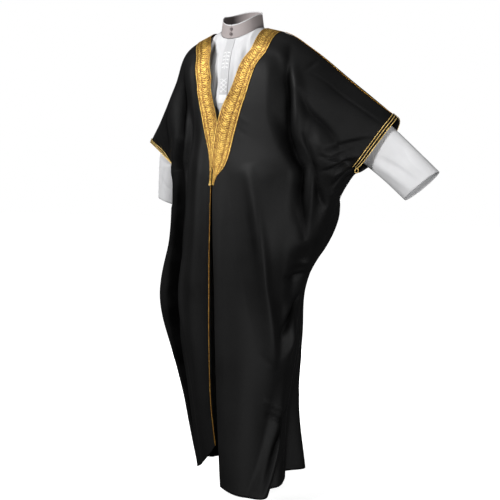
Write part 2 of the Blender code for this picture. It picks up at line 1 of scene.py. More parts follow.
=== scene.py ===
# %% [markdown]
# # A bisht worn over a thobe
# A bisht is a wide open cloak, here black with gold bands, worn over a thobe, a long white robe. This
# lesson dresses the imported model of the two garments. Each flat solid of cloth gives way to a finer sheet
# that follows the same tables, so the pieces stay where the frame has them, and gets its small creases, its
# thread and its finish. The frame is loaded first, and the floor is set below it.

import math
from collections import namedtuple

import bmesh
import bpy
import numpy as np
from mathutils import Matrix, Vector


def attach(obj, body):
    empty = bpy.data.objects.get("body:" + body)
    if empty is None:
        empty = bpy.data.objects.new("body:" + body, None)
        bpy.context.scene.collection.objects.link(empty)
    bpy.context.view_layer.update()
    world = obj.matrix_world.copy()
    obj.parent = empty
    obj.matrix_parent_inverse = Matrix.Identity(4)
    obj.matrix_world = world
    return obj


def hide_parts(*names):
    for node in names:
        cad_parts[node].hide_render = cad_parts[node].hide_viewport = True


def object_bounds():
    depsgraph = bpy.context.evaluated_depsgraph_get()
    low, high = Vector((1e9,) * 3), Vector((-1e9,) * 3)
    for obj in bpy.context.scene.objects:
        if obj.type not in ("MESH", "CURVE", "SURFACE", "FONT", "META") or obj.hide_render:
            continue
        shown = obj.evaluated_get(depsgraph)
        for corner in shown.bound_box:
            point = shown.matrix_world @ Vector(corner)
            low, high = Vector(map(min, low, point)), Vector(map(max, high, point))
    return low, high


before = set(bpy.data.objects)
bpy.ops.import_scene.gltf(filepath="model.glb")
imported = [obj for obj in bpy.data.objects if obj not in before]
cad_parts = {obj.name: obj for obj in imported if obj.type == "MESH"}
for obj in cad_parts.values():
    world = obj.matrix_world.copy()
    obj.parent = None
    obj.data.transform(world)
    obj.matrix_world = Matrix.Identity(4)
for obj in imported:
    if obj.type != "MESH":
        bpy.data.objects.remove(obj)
cad_low, cad_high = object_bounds()
print("solids in the frame:", len(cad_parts), "height", round(cad_high.z - cad_low.z, 3))

# %% [markdown]
# ## The camera
# The picture was taken from 30 degrees to the wearer's left of the front and from below the shoulders, 3.3
# m away, with a lens that gives 997 pixels to the radian on a frame of 500 pixels. A real camera there
# looks slightly down.

# %% The camera
VIEW_AZIMUTH = 30.0
VIEW_DISTANCE = 3.3
VIEW_HEIGHT = -0.42
VIEW_TILT = 4.806
VIEW_TURN = 0.402
SENSOR_WIDTH = 36.0
FOCAL_PIXELS = 997.0
FRAME_PIXELS = 500.0


def show(name, data):
    """Adds an object with this data to the scene."""
    made = bpy.data.objects.new(name, data)
    bpy.context.scene.collection.objects.link(made)
    return made


lens = bpy.data.cameras.new("camera")
lens.sensor_width = SENSOR_WIDTH
lens.lens = FOCAL_PIXELS / FRAME_PIXELS * SENSOR_WIDTH
camera = show("camera", lens)
azimuth = math.radians(VIEW_AZIMUTH)
camera.location = (VIEW_DISTANCE * math.sin(azimuth), -VIEW_DISTANCE * math.cos(azimuth), VIEW_HEIGHT)
camera.rotation_euler = (math.radians(90 - VIEW_TILT), 0, math.radians(VIEW_AZIMUTH - VIEW_TURN))
bpy.context.scene.camera = camera
print("camera lens in mm:", round(lens.lens, 1))

# %% [markdown]
# ## Short ways to build finishes
# A finish is a small tree of nodes. These helpers make a node, set it and lead other nodes into it, so that
# each finish below reads as one recipe. A value that is the same all over goes straight on the shader.

# %% Helpers for finishes
SHEEN_ROUGHNESS = 0.45
WHITE = (1.0, 1.0, 1.0, 1)


def join(tree, socket, value):
    """Puts a fixed value on a socket, or leads another node's output into it."""
    if isinstance(value, bpy.types.NodeSocket):
        tree.links.new(value, socket)
    else:
        socket.default_value = value


def add(tree, kind, inputs, output, **settings):
    """Adds a node with its settings and inputs, and gives one of its outputs."""
    made = tree.nodes.new("ShaderNode" + kind)
    for name, value in settings.items():
        setattr(made, name, value)
    for socket, value in inputs.items():
        join(tree, made.inputs[socket], value)
    return made.outputs[output]


def new_finish(name, colour, roughness, metallic=0.0, sheen=0.0, specular=0.5):
    """A material with the values of its shader, given with its tree and its shader's inputs."""
    made = bpy.data.materials.new(name)
    made.use_nodes = True
    made.diffuse_color = (*colour, 1)
    inputs = made.node_tree.nodes["Principled BSDF"].inputs
    inputs["Base Color"].default_value = (*colour, 1)
    inputs["Roughness"].default_value = roughness
    inputs["Metallic"].default_value = metallic
    inputs["Sheen Weight"].default_value = sheen
    inputs["Sheen Roughness"].default_value = SHEEN_ROUGHNESS
    inputs["Specular IOR Level"].default_value = specular
    return made, made.node_tree, inputs


def scaled_uv(tree, thread):
    """Places along the cloth, counted in threads."""
    place = add(tree, "UVMap", {}, "UV", uv_map="cloth")
    return add(tree, "Mapping", {"Scale": (1 / thread, 1 / thread, 1), "Vector": place}, "Vector")


def wave(tree, vector, direction, distortion=0.0):
    """A wave that repeats once in each unit of the vector."""
    inputs = {"Scale": 1 / (2 * math.pi) * 10, "Distortion": distortion, "Vector": vector}
    return add(tree, "TexWave", inputs, "Fac", bands_direction=direction)


def maths(tree, operation, *values):
    return add(tree, "Math", dict(enumerate(values)), "Value", operation=operation)


def noise(tree, scale, detail=3.0):
    place = add(tree, "TexCoord", {}, "Object")
    return add(tree, "TexNoise", {"Scale": scale, "Detail": detail, "Vector": place}, "Fac")


def relief_for_painted_light(tree):
    """The height that a piece keeps on its points, stitched relief on the threads and crease depth on the
    crepe, which leads the painted shade and highlights.
    """
    return add(tree, "Attribute", {}, "Fac", attribute_name="relief")


def paint(tree, inputs, value, stops):
    """Colours the shader between the stops, led by a value."""
    ramp = tree.nodes.new("ShaderNodeValToRGB")
    elements = ramp.color_ramp.elements
    while len(elements) < len(stops):
        elements.new(0.5)
    for element, (place, colour) in zip(elements, stops):
        element.position = place
        element.color = (*colour, 1)
    join(tree, ramp.inputs["Fac"], value)
    join(tree, inputs["Base Color"], ramp.outputs["Color"])


def bump(tree, inputs, height, strength, distance):
    values = {"Strength": strength, "Distance": distance, "Height": height}
    join(tree, inputs["Normal"], add(tree, "Bump", values, "Normal"))


print("finishes are built from waves, noise and bump")

# %% [markdown]
# ## Floor and light
# The garments stand before an even white backdrop. A pale floor lies a little below the hem, and glows more
# with the distance, so that no horizon shows. Black cloth shows its form only by the light that grazes it.
# So the key lamp is large and stands before the wearer's right shoulder, and a low one from the wearer's
# left opens the lower folds. A weak lamp hangs above, and one behind draws the back. The backdrop is lit
# apart from the garments, as in a studio, so that the room's own fill light stays weak.

# %% Floor and light
FLOOR_DROP = 0.05
FLOOR_SIZE = 30.0
FLOOR_COLOUR = (0.80, 0.80, 0.80)
FLOOR_GLOW = {"From Min": 0.5, "From Max": 2.6, "To Min": 0.66, "To Max": 1.05}
ROOM_FILL = 0.05
BACKDROP_GLOW = 1.0
Lamp = namedtuple("Lamp", "name place aim size power")
LAMPS = [
    Lamp("key", (-1.0, -2.4, 1.15), (0.0, 0.0, -0.5), 0.9, 110),
    Lamp("low side", (2.6, -1.7, -1.1), (0.1, 0.0, -0.9), 1.2, 56),
    Lamp("top", (0.2, 0.2, 2.6), (0.0, 0.0, -0.4), 1.6, 8),
    Lamp("back", (-0.7, 2.7, -0.4), (0.0, 0.0, -0.6), 1.2, 70),
]


def grid_mesh(name, columns, rows, size):
    """A flat grid with this many points across and down."""
    bm = bmesh.new()
    bmesh.ops.create_grid(bm, x_segments=columns - 1, y_segments=rows - 1, size=size)
    mesh = bpy.data.meshes.new(name)
    bm.to_mesh(mesh)
    bm.free()
    return mesh


def floor_paint():
    """A pale paint whose own glow grows with the distance from the garments."""
    made, tree, inputs = new_finish("floor paint", FLOOR_COLOUR, 0.9, specular=0.0)
    place = add(tree, "TexCoord", {}, "Object")
    distance = add(tree, "VectorMath", {0: place}, "Value", operation="LENGTH")
    glow = add(tree, "MapRange", {"Value": distance, **FLOOR_GLOW}, "Result")
    join(tree, inputs["Emission Color"], WHITE)
    join(tree, inputs["Emission Strength"], glow)
    return made


def light_room():
    """A weak fill light, and a white backdrop that only the camera sees."""
    room = bpy.data.worlds.new("white room")
    room.use_nodes = True
    tree = room.node_tree
    fill = tree.nodes["Background"]
    fill.inputs["Strength"].default_value = ROOM_FILL
    fill.inputs["Color"].default_value = WHITE
    backdrop = add(tree, "Background", {"Strength": BACKDROP_GLOW, "Color": WHITE}, "Background")
    seen = add(tree, "LightPath", {}, "Is Camera Ray")
    mixed = add(tree, "MixShader", {"Fac": seen, 1: fill.outputs["Background"], 2: backdrop}, "Shader")
    join(tree, tree.nodes["World Output"].inputs["Surface"], mixed)
    bpy.context.scene.world = room


def hang_lamp(lamp):
    light = bpy.data.lights.new(lamp.name, "AREA")
    light.shape = "DISK"
    light.size = lamp.size
    light.energy = lamp.power
    holder = show(lamp.name, light)
    holder.location = lamp.place
    holder.rotation_euler = (Vector(lamp.aim) - Vector(lamp.place)).to_track_quat("-Z", "Y").to_euler()


floor = show("floor", grid_mesh("floor", 2, 2, FLOOR_SIZE / 2))
floor.location.z = cad_low.z - FLOOR_DROP
floor.visible_diffuse = False
floor.visible_glossy = False
floor.data.materials.append(floor_paint())
for lamp in LAMPS:
    hang_lamp(lamp)
light_room()
bpy.context.scene.view_settings.view_transform = "Standard"
print("lamps:", len(LAMPS))

# %% [markdown]
# ## Levels and places
# Every panel of cloth is a grid over two shares. The level v counts the sections down from the shoulder,
# and the place t runs from the front edge, or the middle, to the side seam. The tables give the few sizes
# that the maker and the pose set at each level, and smooth curves fill in between them. Every length is in
# metres.

# %% What the tables hold
# A section is one level of a garment: its front edge, its side seam, the back's middle and the band's width.
Section = namedtuple("Section", "name edge_x edge_y edge_z side_x side_y side_z back_y back_z band")
Garment = namedtuple(
    "Garment", "sections shoulder arc_share opening_depth opening_bow foot roll fullness hem_sag"
)
Fold = namedtuple("Fold", "name v_top t_top v_mid t_mid v_foot t_foot d_top d_mid d_foot half")
Ring = namedtuple("Ring", "name x y z half_height half_depth lean")
Crease = namedtuple("Crease", "name path depth half lean", defaults=[0.0])
print("a section has", len(Section._fields), "columns")

# %% [markdown]
# ## The cloak's left side
# The wearer's left arm is held out, so the cloth rises to the elbow and its open end faces the hand. Twelve
# levels run from the neck to the hem, and the first six share the sleeve's open end.

# %% The cloak's left side
BISHT_LEFT = Garment(
    sections=[
        Section("neck", 0.095, -0.078, 0.02, 0.518, 0.05, -0.272, 0.092, 0.03, 0.055),
        Section("collarbone", 0.089, -0.096, -0.045, 0.513, 0.049, -0.28, 0.12, -0.02, 0.055),
        Section("upper chest", 0.063, -0.126, -0.1, 0.498, 0.047, -0.298, 0.136, -0.09, 0.055),
        Section("chest", 0.032, -0.143, -0.198, 0.46, 0.041, -0.348, 0.147, -0.19, 0.058),
        Section("foot of the V", 0.002, -0.152, -0.291, 0.42, 0.035, -0.4, 0.152, -0.3, 0.058),
        Section("foot of the sleeve", -0.009, -0.163, -0.4, 0.388, 0.03, -0.441, 0.152, -0.4, 0.048),
        Section("waist", -0.014, -0.17, -0.478, 0.331, 0.03, -0.527, 0.153, -0.49, 0.007),
        Section("hip", -0.006, -0.182, -0.64, 0.28, 0.026, -0.671, 0.156, -0.65, 0.01),
        Section("thigh", 0.006, -0.19, -0.82, 0.213, 0.015, -0.825, 0.16, -0.82, 0.01),
        Section("knee", 0.014, -0.197, -1, 0.201, 0.005, -1.005, 0.165, -0.995, 0.01),
        Section("calf", 0.022, -0.2, -1.22, 0.17, -0.01, -1.23, 0.17, -1.205, 0.01),
        Section("hem", 0.032, -0.205, -1.439, 0.16, -0.02, -1.462, 0.175, -1.432, 0.01),
    ],
    shoulder=[
        (0.095, 0, 0.02), (0.172, 0.005, -0.003), (0.244, 0.011, -0.05), (0.372, 0.03, -0.155),
        (0.518, 0.05, -0.272),
    ],
    arc_share=0.23,
    opening_depth=0.050,
    opening_bow=-0.016,
    foot=5,
    roll=0.070,
    fullness=1.8,
    hem_sag=0.016,
)
print("levels on the left:", len(BISHT_LEFT.sections))

# %% [markdown]
# ## The cloak's right side
# The right arm hangs down, which pulls the sleeve close to the body and lifts the hem a little.

# %% The cloak's right side
BISHT_RIGHT = Garment(
    sections=[
        Section("neck", -0.095, -0.078, 0.014, -0.414, 0.07, -0.338, 0.092, 0.03, 0.055),
        Section("collarbone", -0.061, -0.114, -0.045, -0.408, 0.067, -0.342, 0.12, -0.02, 0.052),
        Section("upper chest", -0.056, -0.131, -0.1, -0.388, 0.06, -0.354, 0.136, -0.09, 0.048),
        Section("chest", -0.03, -0.143, -0.198, -0.335, 0.04, -0.386, 0.147, -0.19, 0.047),
        Section("foot of the V", -0.006, -0.152, -0.291, -0.28, 0.018, -0.42, 0.152, -0.3, 0.044),
        Section("foot of the sleeve", -0.016, -0.163, -0.4, -0.236, 0.005, -0.445, 0.152, -0.4, 0.015),
        Section("waist", -0.019, -0.17, -0.478, -0.228, 0, -0.505, 0.153, -0.49, 0.007),
        Section("hip", -0.018, -0.182, -0.64, -0.24, 0, -0.66, 0.156, -0.65, 0.01),
        Section("thigh", -0.016, -0.19, -0.82, -0.284, 0, -0.855, 0.16, -0.82, 0.01),
        Section("knee", -0.012, -0.197, -1, -0.238, 0, -1.04, 0.165, -0.995, 0.01),
        Section("calf", -0.006, -0.198, -1.17, -0.185, 0, -1.225, 0.17, -1.205, 0.01),
        Section("hem", 0.01, -0.195, -1.31, -0.14, 0, -1.418, 0.175, -1.432, 0.01),
    ],
    shoulder=[
        (-0.095, 0, 0.014), (-0.19, 0.004, -0.032), (-0.24, 0.034, -0.122), (-0.32, 0.056, -0.232),
        (-0.414, 0.07, -0.338),
    ],
    arc_share=0.23,
    opening_depth=0.046,
    opening_bow=0.020,
    foot=5,
    roll=0.062,
    fullness=1.8,
    hem_sag=0.0,
)
print("levels on the right:", len(BISHT_RIGHT.sections))

# %% [markdown]
# ## The thobe
# The white robe hangs inside the cloak, and each side mirrors the other. Its armhole edges are upright
# ovals.

# %% The thobe
THOBE = Garment(
    sections=[
        Section("neck", 0, -0.077, -0.014, 0.196, 0, -0.054, 0.072, 0.045, 0),
        Section("collarbone", 0, -0.099, -0.06, 0.196, 0, -0.07, 0.098, 0, 0),
        Section("upper chest", 0, -0.116, -0.115, 0.196, 0, -0.118, 0.116, -0.08, 0),
        Section("chest", 0, -0.126, -0.185, 0.196, 0, -0.188, 0.126, -0.17, 0),
        Section("underarm", 0, -0.13, -0.24, 0.196, 0, -0.235, 0.128, -0.235, 0),
        Section("waist", 0, -0.128, -0.45, 0.186, 0, -0.45, 0.12, -0.45, 0),
        Section("hip", 0, -0.13, -0.72, 0.165, 0, -0.72, 0.118, -0.72, 0),
        Section("knee", 0, -0.12, -1, 0.13, 0, -1, 0.108, -1, 0),
        Section("hem", 0, -0.115, -1.27, 0.108, 0, -1.27, 0.1, -1.27, 0),
    ],
    shoulder=[(0.068, 0, 0.0237), (0.134, 0, -0.009), (0.196, 0, -0.054)],
    arc_share=0.40,
    opening_depth=0.066,
    opening_bow=0.0,
    foot=4,
    roll=0.060,
    fullness=1.1,
    hem_sag=0.0,
)
print("levels of the thobe:", len(THOBE.sections))

# %% [markdown]
# ## The broad folds
# A fold follows a line of places down the levels and moves the cloth out or in over half its width. These
# are the broad folds that the flat solids have too.

# %% The broad folds
LEFT_FOLDS = [
    Fold("shoulder ridge", 0.6, 0.2, 3.3, 0.53, 6.2, 0.68, 0.003, 0.012, 0.006, 0.1),
    Fold("shoulder valley", 1.2, 0.22, 3.5, 0.43, 6.4, 0.6, -0.004, -0.018, -0.01, 0.11),
    Fold("underarm valley", 3.1, 0.57, 4.8, 0.62, 6.3, 0.8, -0.006, -0.016, -0.008, 0.11),
    Fold("underarm ridge", 3.2, 0.7, 4.9, 0.76, 6.6, 0.88, 0.004, 0.01, 0.006, 0.14),
    Fold("long front ridge", 4.8, 0.2, 7.2, 0.4, 9.6, 0.7, 0.006, 0.016, 0.006, 0.2),
    Fold("hip tuck", 7, 0.72, 7.6, 0.8, 8.2, 0.86, -0.004, -0.016, -0.004, 0.16),
    Fold("knee swell", 8.1, 0.86, 8.8, 0.84, 9.4, 0.84, 0.004, 0.022, 0.004, 0.16),
    Fold("front layer ridge", 9.3, 0.92, 10.3, 0.8, 11.3, 0.48, 0.004, 0.024, 0.032, 0.2),
    Fold("side layer valley", 9.9, 0.96, 10.6, 0.9, 11.3, 0.74, -0.002, -0.014, -0.024, 0.16),
]
RIGHT_FOLDS = [
    Fold("shoulder ridge", 0.8, 0.14, 4.4, 0.15, 9.8, 0.16, 0.003, 0.009, 0.01, 0.11),
    Fold("deep valley", 1.8, 0.24, 4.5, 0.4, 10.6, 0.35, -0.003, -0.027, -0.014, 0.11),
    Fold("outer ridge", 1.4, 0.46, 4.4, 0.63, 9.4, 0.6, 0.007, 0.022, 0.014, 0.18),
]
BACK_LEFT_FOLDS = [
    Fold("middle pleat", 0.5, 0, 5, 0, 11.3, 0, 0.001, 0.005, 0.014, 0.1),
    Fold("shoulder blade valley", 1.2, 0.42, 5.2, 0.3, 11.3, 0.22, -0.003, -0.012, -0.018, 0.14),
    Fold("back ridge", 1.6, 0.58, 5.4, 0.48, 11.3, 0.4, 0.003, 0.014, 0.014, 0.14),
    Fold("back outer valley", 3.2, 0.66, 6.4, 0.62, 9.4, 0.56, -0.003, -0.014, -0.006, 0.13),
    Fold("side bulge", 5.95, 0.79, 6.35, 0.8, 7.3, 0.82, 0.004, 0.02, 0.004, 0.18),
    Fold("side back ridge", 9, 0.72, 10, 0.69, 11.3, 0.66, 0.002, 0.022, 0.06, 0.17),
    Fold("side back valley", 8.6, 0.9, 9.8, 0.86, 11.3, 0.82, -0.002, -0.008, -0.018, 0.14),
]
BACK_RIGHT_FOLDS = [
    Fold("middle pleat", 0.5, 0, 5, 0, 11.3, 0, 0.001, 0.005, 0.014, 0.1),
    Fold("shoulder blade valley", 1.2, 0.4, 5.2, 0.34, 11.3, 0.26, -0.003, -0.011, -0.016, 0.15),
    Fold("back ridge", 1.6, 0.6, 5.4, 0.56, 11.3, 0.5, 0.003, 0.013, 0.018, 0.15),
    Fold("side back ridge", 5.4, 0.78, 8, 0.8, 11.3, 0.8, 0.004, 0.012, 0.01, 0.14),
]
THOBE_FOLDS = [
    Fold("gather left of the placket", 0.2, 0.16, 1.6, 0.18, 3.6, 0.22, 0.001, 0.003, 0.001, 0.07),
    Fold("front ridge", 3.4, 0.45, 5.8, 0.42, 8.3, 0.4, 0.001, 0.004, 0.01, 0.16),
    Fold("front valley", 3.4, 0.7, 5.8, 0.7, 8.3, 0.68, -0.001, -0.003, -0.008, 0.14),
]
print("broad folds:", len(LEFT_FOLDS + RIGHT_FOLDS + BACK_LEFT_FOLDS + BACK_RIGHT_FOLDS + THOBE_FOLDS))

# %% [markdown]
# ## The thobe's sleeve rings
# A worn sleeve is a tube of ovals along the arm, each with its own lean in degrees.

# %% The sleeve rings
SLEEVE_LEFT = [
    Ring("armhole", 0.19757, 0, -0.1445, 0.0905, 0.066, -0.8),
    Ring("armhole seam", 0.2045, 0, -0.1445, 0.0905, 0.066, -0.8),
    Ring("upper arm", 0.262, 0.004, -0.188, 0.084, 0.054, 22),
    Ring("above the elbow", 0.336, 0.014, -0.25, 0.079, 0.043, 38),
    Ring("elbow", 0.408, 0.026, -0.309, 0.076, 0.036, 41),
    Ring("cloak's opening", 0.47, 0.036, -0.362, 0.073, 0.033, 41),
    Ring("forearm", 0.54, 0.028, -0.418, 0.069, 0.038, 42),
    Ring("hem", 0.613, 0.018, -0.48, 0.068, 0.042, 50),
]
SLEEVE_RIGHT = [
    Ring("armhole", -0.19757, 0, -0.1445, 0.0905, 0.066, 0.8),
    Ring("armhole seam", -0.202, 0, -0.1445, 0.0905, 0.066, 0.8),
    Ring("upper arm", -0.22, 0.01, -0.182, 0.062, 0.054, -10),
    Ring("above the elbow", -0.24, 0.022, -0.224, 0.051, 0.044, -24),
    Ring("elbow", -0.274, 0.033, -0.292, 0.045, 0.036, -46),
    Ring("cloak's opening", -0.308, 0.036, -0.38, 0.042, 0.031, -74),
    Ring("forearm", -0.318, 0.043, -0.455, 0.043, 0.034, -79),
    Ring("hem", -0.328, 0.05, -0.541, 0.043, 0.034, -70),
]
print("rings a sleeve:", len(SLEEVE_LEFT))

# %% [markdown]
# ## Smooth curves between the levels
# A curve through the table's values takes its slope at each from the two neighbours, so the cloth has no
# corners.

# %% Smooth curves
def smooth(xs, ys, x):
    """A curve through the points (xs, ys) whose slope follows its neighbours."""
    xs, ys = np.asarray(xs, float), np.asarray(ys, float)
    step = np.diff(xs)
    slope = np.diff(ys) / step
    tangent = np.empty_like(ys)
    tangent[0], tangent[-1] = slope[0], slope[-1]
    tangent[1:-1] = (slope[:-1] * step[1:] + slope[1:] * step[:-1]) / (step[:-1] + step[1:])
    x = np.clip(np.asarray(x, float), xs[0], xs[-1])
    i = np.clip(np.searchsorted(xs, x, side="right") - 1, 0, len(xs) - 2)
    h = step[i]
    s = (x - xs[i]) / h
    return (
        ys[i] * (2 * s**3 - 3 * s**2 + 1)
        + tangent[i] * h * (s**3 - 2 * s**2 + s)
        + ys[i + 1] * (3 * s**2 - 2 * s**3)
        + tangent[i + 1] * h * (s**3 - s**2)
    )


def ease(x):
    """A soft step from 0 to 1."""
    x = np.clip(x, 0, 1)
    return x * x * (3 - 2 * x)


def unit(vectors):
    """The same directions at length 1."""
    return vectors / np.linalg.norm(vectors, axis=-1, keepdims=True)


def column(garment, name, v):
    """A named column of the garment's table at level v, counted in sections."""
    values = [getattr(s, name) for s in garment.sections]
    return smooth(range(len(values)), values, v)


def distances(line):
    """How far along a line each of its points lies."""
    return np.concatenate([[0], np.cumsum(np.linalg.norm(np.diff(line, axis=0), axis=1))])


def along(points, share):
    """Points on a smooth line through a few points, by share of its length."""
    points = np.asarray(points, float)
    reach = distances(points)
    return np.stack([smooth(reach / reach[-1], points[:, i], share) for i in range(3)], -1)


def even(line, count):
    """Points that part a line into this many even steps."""
    reach = distances(line)
    places = np.linspace(0, reach[-1], count + 1)
    return np.stack([np.interp(places, reach, line[:, i]) for i in range(3)], -1)


print("halfway between two levels:", round(float(column(BISHT_LEFT, "side_x", 6.5)), 3))

# %% [markdown]
# ## The cloth's form
# The upper edge of a panel is the shoulder line, and for the back and the thobe also the neckline. Below it
# the panel rolls over the shoulder and then follows the levels. Above the foot of the sleeve its side is
# the sleeve's open end, an oval hole, and below that it is the side seam, where front and back meet
# smoothly.

# %% The form of a panel
HEM_STEP = 9
OPENING_SHARE = 0.62


def below_opening(garment, v):
    """0 beside the sleeve's open end, and 1 where the side seam holds front and back together."""
    return ease((v / garment.foot - OPENING_SHARE) / (1 - OPENING_SHARE))


def top_line(garment, arc, t):
    """The upper edge of a panel: the neckline's arc from its middle, then the shoulder."""
    if arc is None:
        return along(garment.shoulder, t)
    n = garment.arc_share
    arc_y, arc_z = arc
    near = np.array(garment.shoulder[0])
    a = np.clip(1 - t / n, 0, 1) * math.pi / 2
    x = near[0] * np.cos(a)
    y = near[1] + (arc_y - near[1]) * np.sin(a)
    z = near[2] + (arc_z - near[2]) * np.sin(a) ** 1.5
    neckline = np.stack([x, y, z], -1)
    return np.where((t < n)[..., None], neckline, along(garment.shoulder, np.clip((t - n) / (1 - n), 0, 1)))


def base_surface(garment, face, t, v):
    """The cloth before its folds. Face is open front, closed front or back."""
    t, v = np.broadcast_arrays(np.asarray(t, float), np.asarray(v, float))
    first = garment.sections[0]
    foot = garment.foot
    k = below_opening(garment, v)
    m = (1 - k) * t + k * np.sin(t * math.pi / 2)
    drop = (1 - k) * (1 - t**garment.fullness) + k * np.cos(t * math.pi / 2)
    last = ease(v - len(garment.sections) + 2)
    rear = (1 - last) * m**4 + last * t**HEM_STEP
    fall = (1 - k) * m + k * (rear if face == "back" else m * (2 - m))
    side = [column(garment, "side_" + a, v) for a in "xyz"]
    if face == "back":
        edge = [0 * v, column(garment, "back_y", v), column(garment, "back_z", v)]
        top = top_line(garment, (first.back_y, first.back_z), t)
        start = (0.0, first.back_z)
    else:
        edge = [column(garment, "edge_" + a, v) for a in "xyz"]
        arc = (first.edge_y, first.edge_z) if face == "closed front" else None
        top = top_line(garment, arc, t)
        start = (first.edge_x, first.edge_z)
    top_z, foot_z = first.side_z, garment.sections[foot].side_z
    share = np.clip((top_z - side[2]) / (top_z - foot_z), 0, 1)
    oval = np.sqrt(np.clip(1 - (1 - 2 * share) ** 2, 0, 1)) * (v < foot)
    soft = oval * ease((1 - share) / 0.35)
    oval = soft + (oval - soft) * np.clip(t, 0, 1) ** 14
    sign = 1 if face == "back" else -1
    side_y = side[1] + sign * garment.opening_depth * oval
    lift = 1 - np.clip(v / foot, 0, 1)
    flat_x = start[0] + (first.side_x - start[0]) * t
    flat_z = start[1] + (first.side_z - start[1]) * t
    bow = garment.opening_bow * oval * t**4
    outwards = math.copysign(0.6, first.side_x)
    x = edge[0] + (side[0] - edge[0]) * m + (top[..., 0] - flat_x) * lift - bow * outwards
    z = edge[2] + (side[2] - edge[2]) * fall + (top[..., 2] - flat_z) * lift + bow * 0.8
    if face == "open front":
        z = z - garment.hem_sag * last * np.sin(t * math.pi)
    section_y = side_y + (edge[1] - side_y) * drop
    below = np.hypot(x - top[..., 0], z - top[..., 2])
    radius = garment.roll * (1 - 0.3 * t)
    roll = np.sqrt(1 - (1 - np.clip(below / radius, 0, 1)) ** 2)
    roll = roll + (1 - roll) * t**3
    y = top[..., 1] + (section_y - top[..., 1]) * roll
    return np.stack([x, y, z], -1)


print("hem at the left side seam:", base_surface(BISHT_LEFT, "back", 1.0, 11.0).round(3))

# %% [markdown]
# ## Folds, normals and seams
# Folds move the cloth along its own outward direction, and die out at the seams. Rows stand close together
# at the shoulder, where the cloth bends most.

# %% Folds, normals and seams
def fold_depth(folds, t, v):
    """How far the folds move the cloth out (ridges) or in (valleys) at t, v."""
    total = np.zeros(np.broadcast(t, v).shape)
    for f in folds:
        levels = [f.v_top, f.v_mid, f.v_foot]
        centre = smooth(levels, [f.t_top, f.t_mid, f.t_foot], v)
        depth = smooth(levels, [f.d_top, f.d_mid, f.d_foot], v)
        reach = (levels[2] - levels[0]) * 0.14
        inside = ease((v - levels[0] + reach) / (2 * reach)) * ease((levels[2] + reach - v) / (2 * reach))
        across = np.clip(np.abs(t - centre) / f.half, 0, 1)
        total = total + depth * inside * (0.5 + 0.5 * np.cos(across * math.pi))
    return total * ease((1 - t) / 0.20) * ease(v / 1.2)


def grid_normals(points, outward):
    """Unit normals of a grid of points, on the side of the outward direction."""
    n = np.cross(np.gradient(points, axis=1), np.gradient(points, axis=0))
    n = n / np.maximum(np.linalg.norm(n, axis=2, keepdims=True), 1e-12)
    facing = (n * np.asarray(outward, float)).sum()
    return n if facing > 0 else -n


def row_levels(counts):
    """Levels of the rows: even in each section, close together at the shoulder."""
    levels = [1 - math.cos(j / counts[0] * math.pi / 2) for j in range(counts[0])]
    for i, n in enumerate(counts[1:], 1):
        levels += [i + j / n for j in range(n)]
    return np.array(levels + [len(counts)])


def draw_in(points, edges, amount):
    """Pull named edges of a grid towards its middle, which leaves the seam's gap."""
    points = points.copy()
    for edge in edges:
        here, inner = (0, 1) if edge in ("top", "first") else (-1, -2)
        lines = points if edge in ("top", "foot") else points.swapaxes(0, 1)
        lines[here] += unit(lines[inner] - lines[here]) * amount
    return points


print("fold helpers ready")

# %% [markdown]
# ## Small creases
# The folds of the tables are broad. Worn cloth also has narrower creases, and each is a soft line on the
# panel with a depth, a half width and a lean, which makes one flank steeper than the other, as where cloth
# turns over a limb. A crease is given by a few places (v, t) that it runs through, measured in space, so
# that it may run in any direction.

# %% How a crease moves the cloth
CREASE_STEPS = 40
VALLEY_POWER = 1.4
RIDGE_POWER = 2.0
WANDER_WAVES = 9


def crease_depth(base, normals, line_on, creases):
    """How far the creases move each point of a grid, out (ridges) or in (valleys)."""
    total = np.zeros(base.shape[:2])
    for crease in creases:
        line = along(line_on(np.array(crease.path)), np.linspace(0, 1, CREASE_STEPS))
        tangent = np.gradient(line, axis=0)
        spacing = np.linalg.norm(tangent, axis=1)
        tangent = tangent / spacing[:, None]
        best = np.full(base.shape[:2], np.inf)
        nearest = np.zeros(base.shape[:2], int)
        for k, point in enumerate(line):
            gap = ((base - point) ** 2).sum(axis=2)
            closer = gap < best
            best[closer] = gap[closer]
            nearest[closer] = k
        rest = base - line[nearest]
        ahead = np.einsum("ijk,ijk->ij", rest, tangent[nearest])
        inner = (nearest > 0) & (nearest < CREASE_STEPS - 1)
        across = np.sqrt(np.maximum(best - np.where(inner, ahead**2, 0), 0))
        side = np.sign(np.einsum("ijk,ijk->ij", np.cross(tangent[nearest], normals), rest))
        share = np.clip((nearest + ahead / spacing[nearest]) / (CREASE_STEPS - 1), 0, 1)
        flank = across / (crease.half * (1 + crease.lean * side))
        power = VALLEY_POWER if crease.depth < 0 else RIDGE_POWER
        total += crease.depth * np.exp(-(flank**power)) * np.sin(share * math.pi) ** 0.7
    return total


def unevenness(base, amount, seed):
    """A slow wander of the cloth, as no hung cloth lies quite even."""
    chance = np.random.default_rng(seed)
    total = np.zeros(base.shape[:2])
    for _ in range(WANDER_WAVES):
        direction = chance.normal(size=3) * (16.0, 16.0, 5.0)
        total += np.sin(base @ direction + chance.uniform(0, 2 * math.pi))
    return total * amount / 3


print("crease lines are measured at", CREASE_STEPS, "points each")

# %% [markdown]
# ## The creases of the cloak
# On the wearer's left the arm is held out, so the cloth hangs in long valleys from the shoulder to the
# underarm, crumples in the crook of the sleeve, and pulls into swags where it is caught at the hip and the
# knee. On the right the arm hangs down, so the cloth falls in one deep valley beside the front. The back
# has no picture, and gets quieter folds of the same kind. A crease gives its name, places, depth, half
# width and, where it isn't 0, its lean.

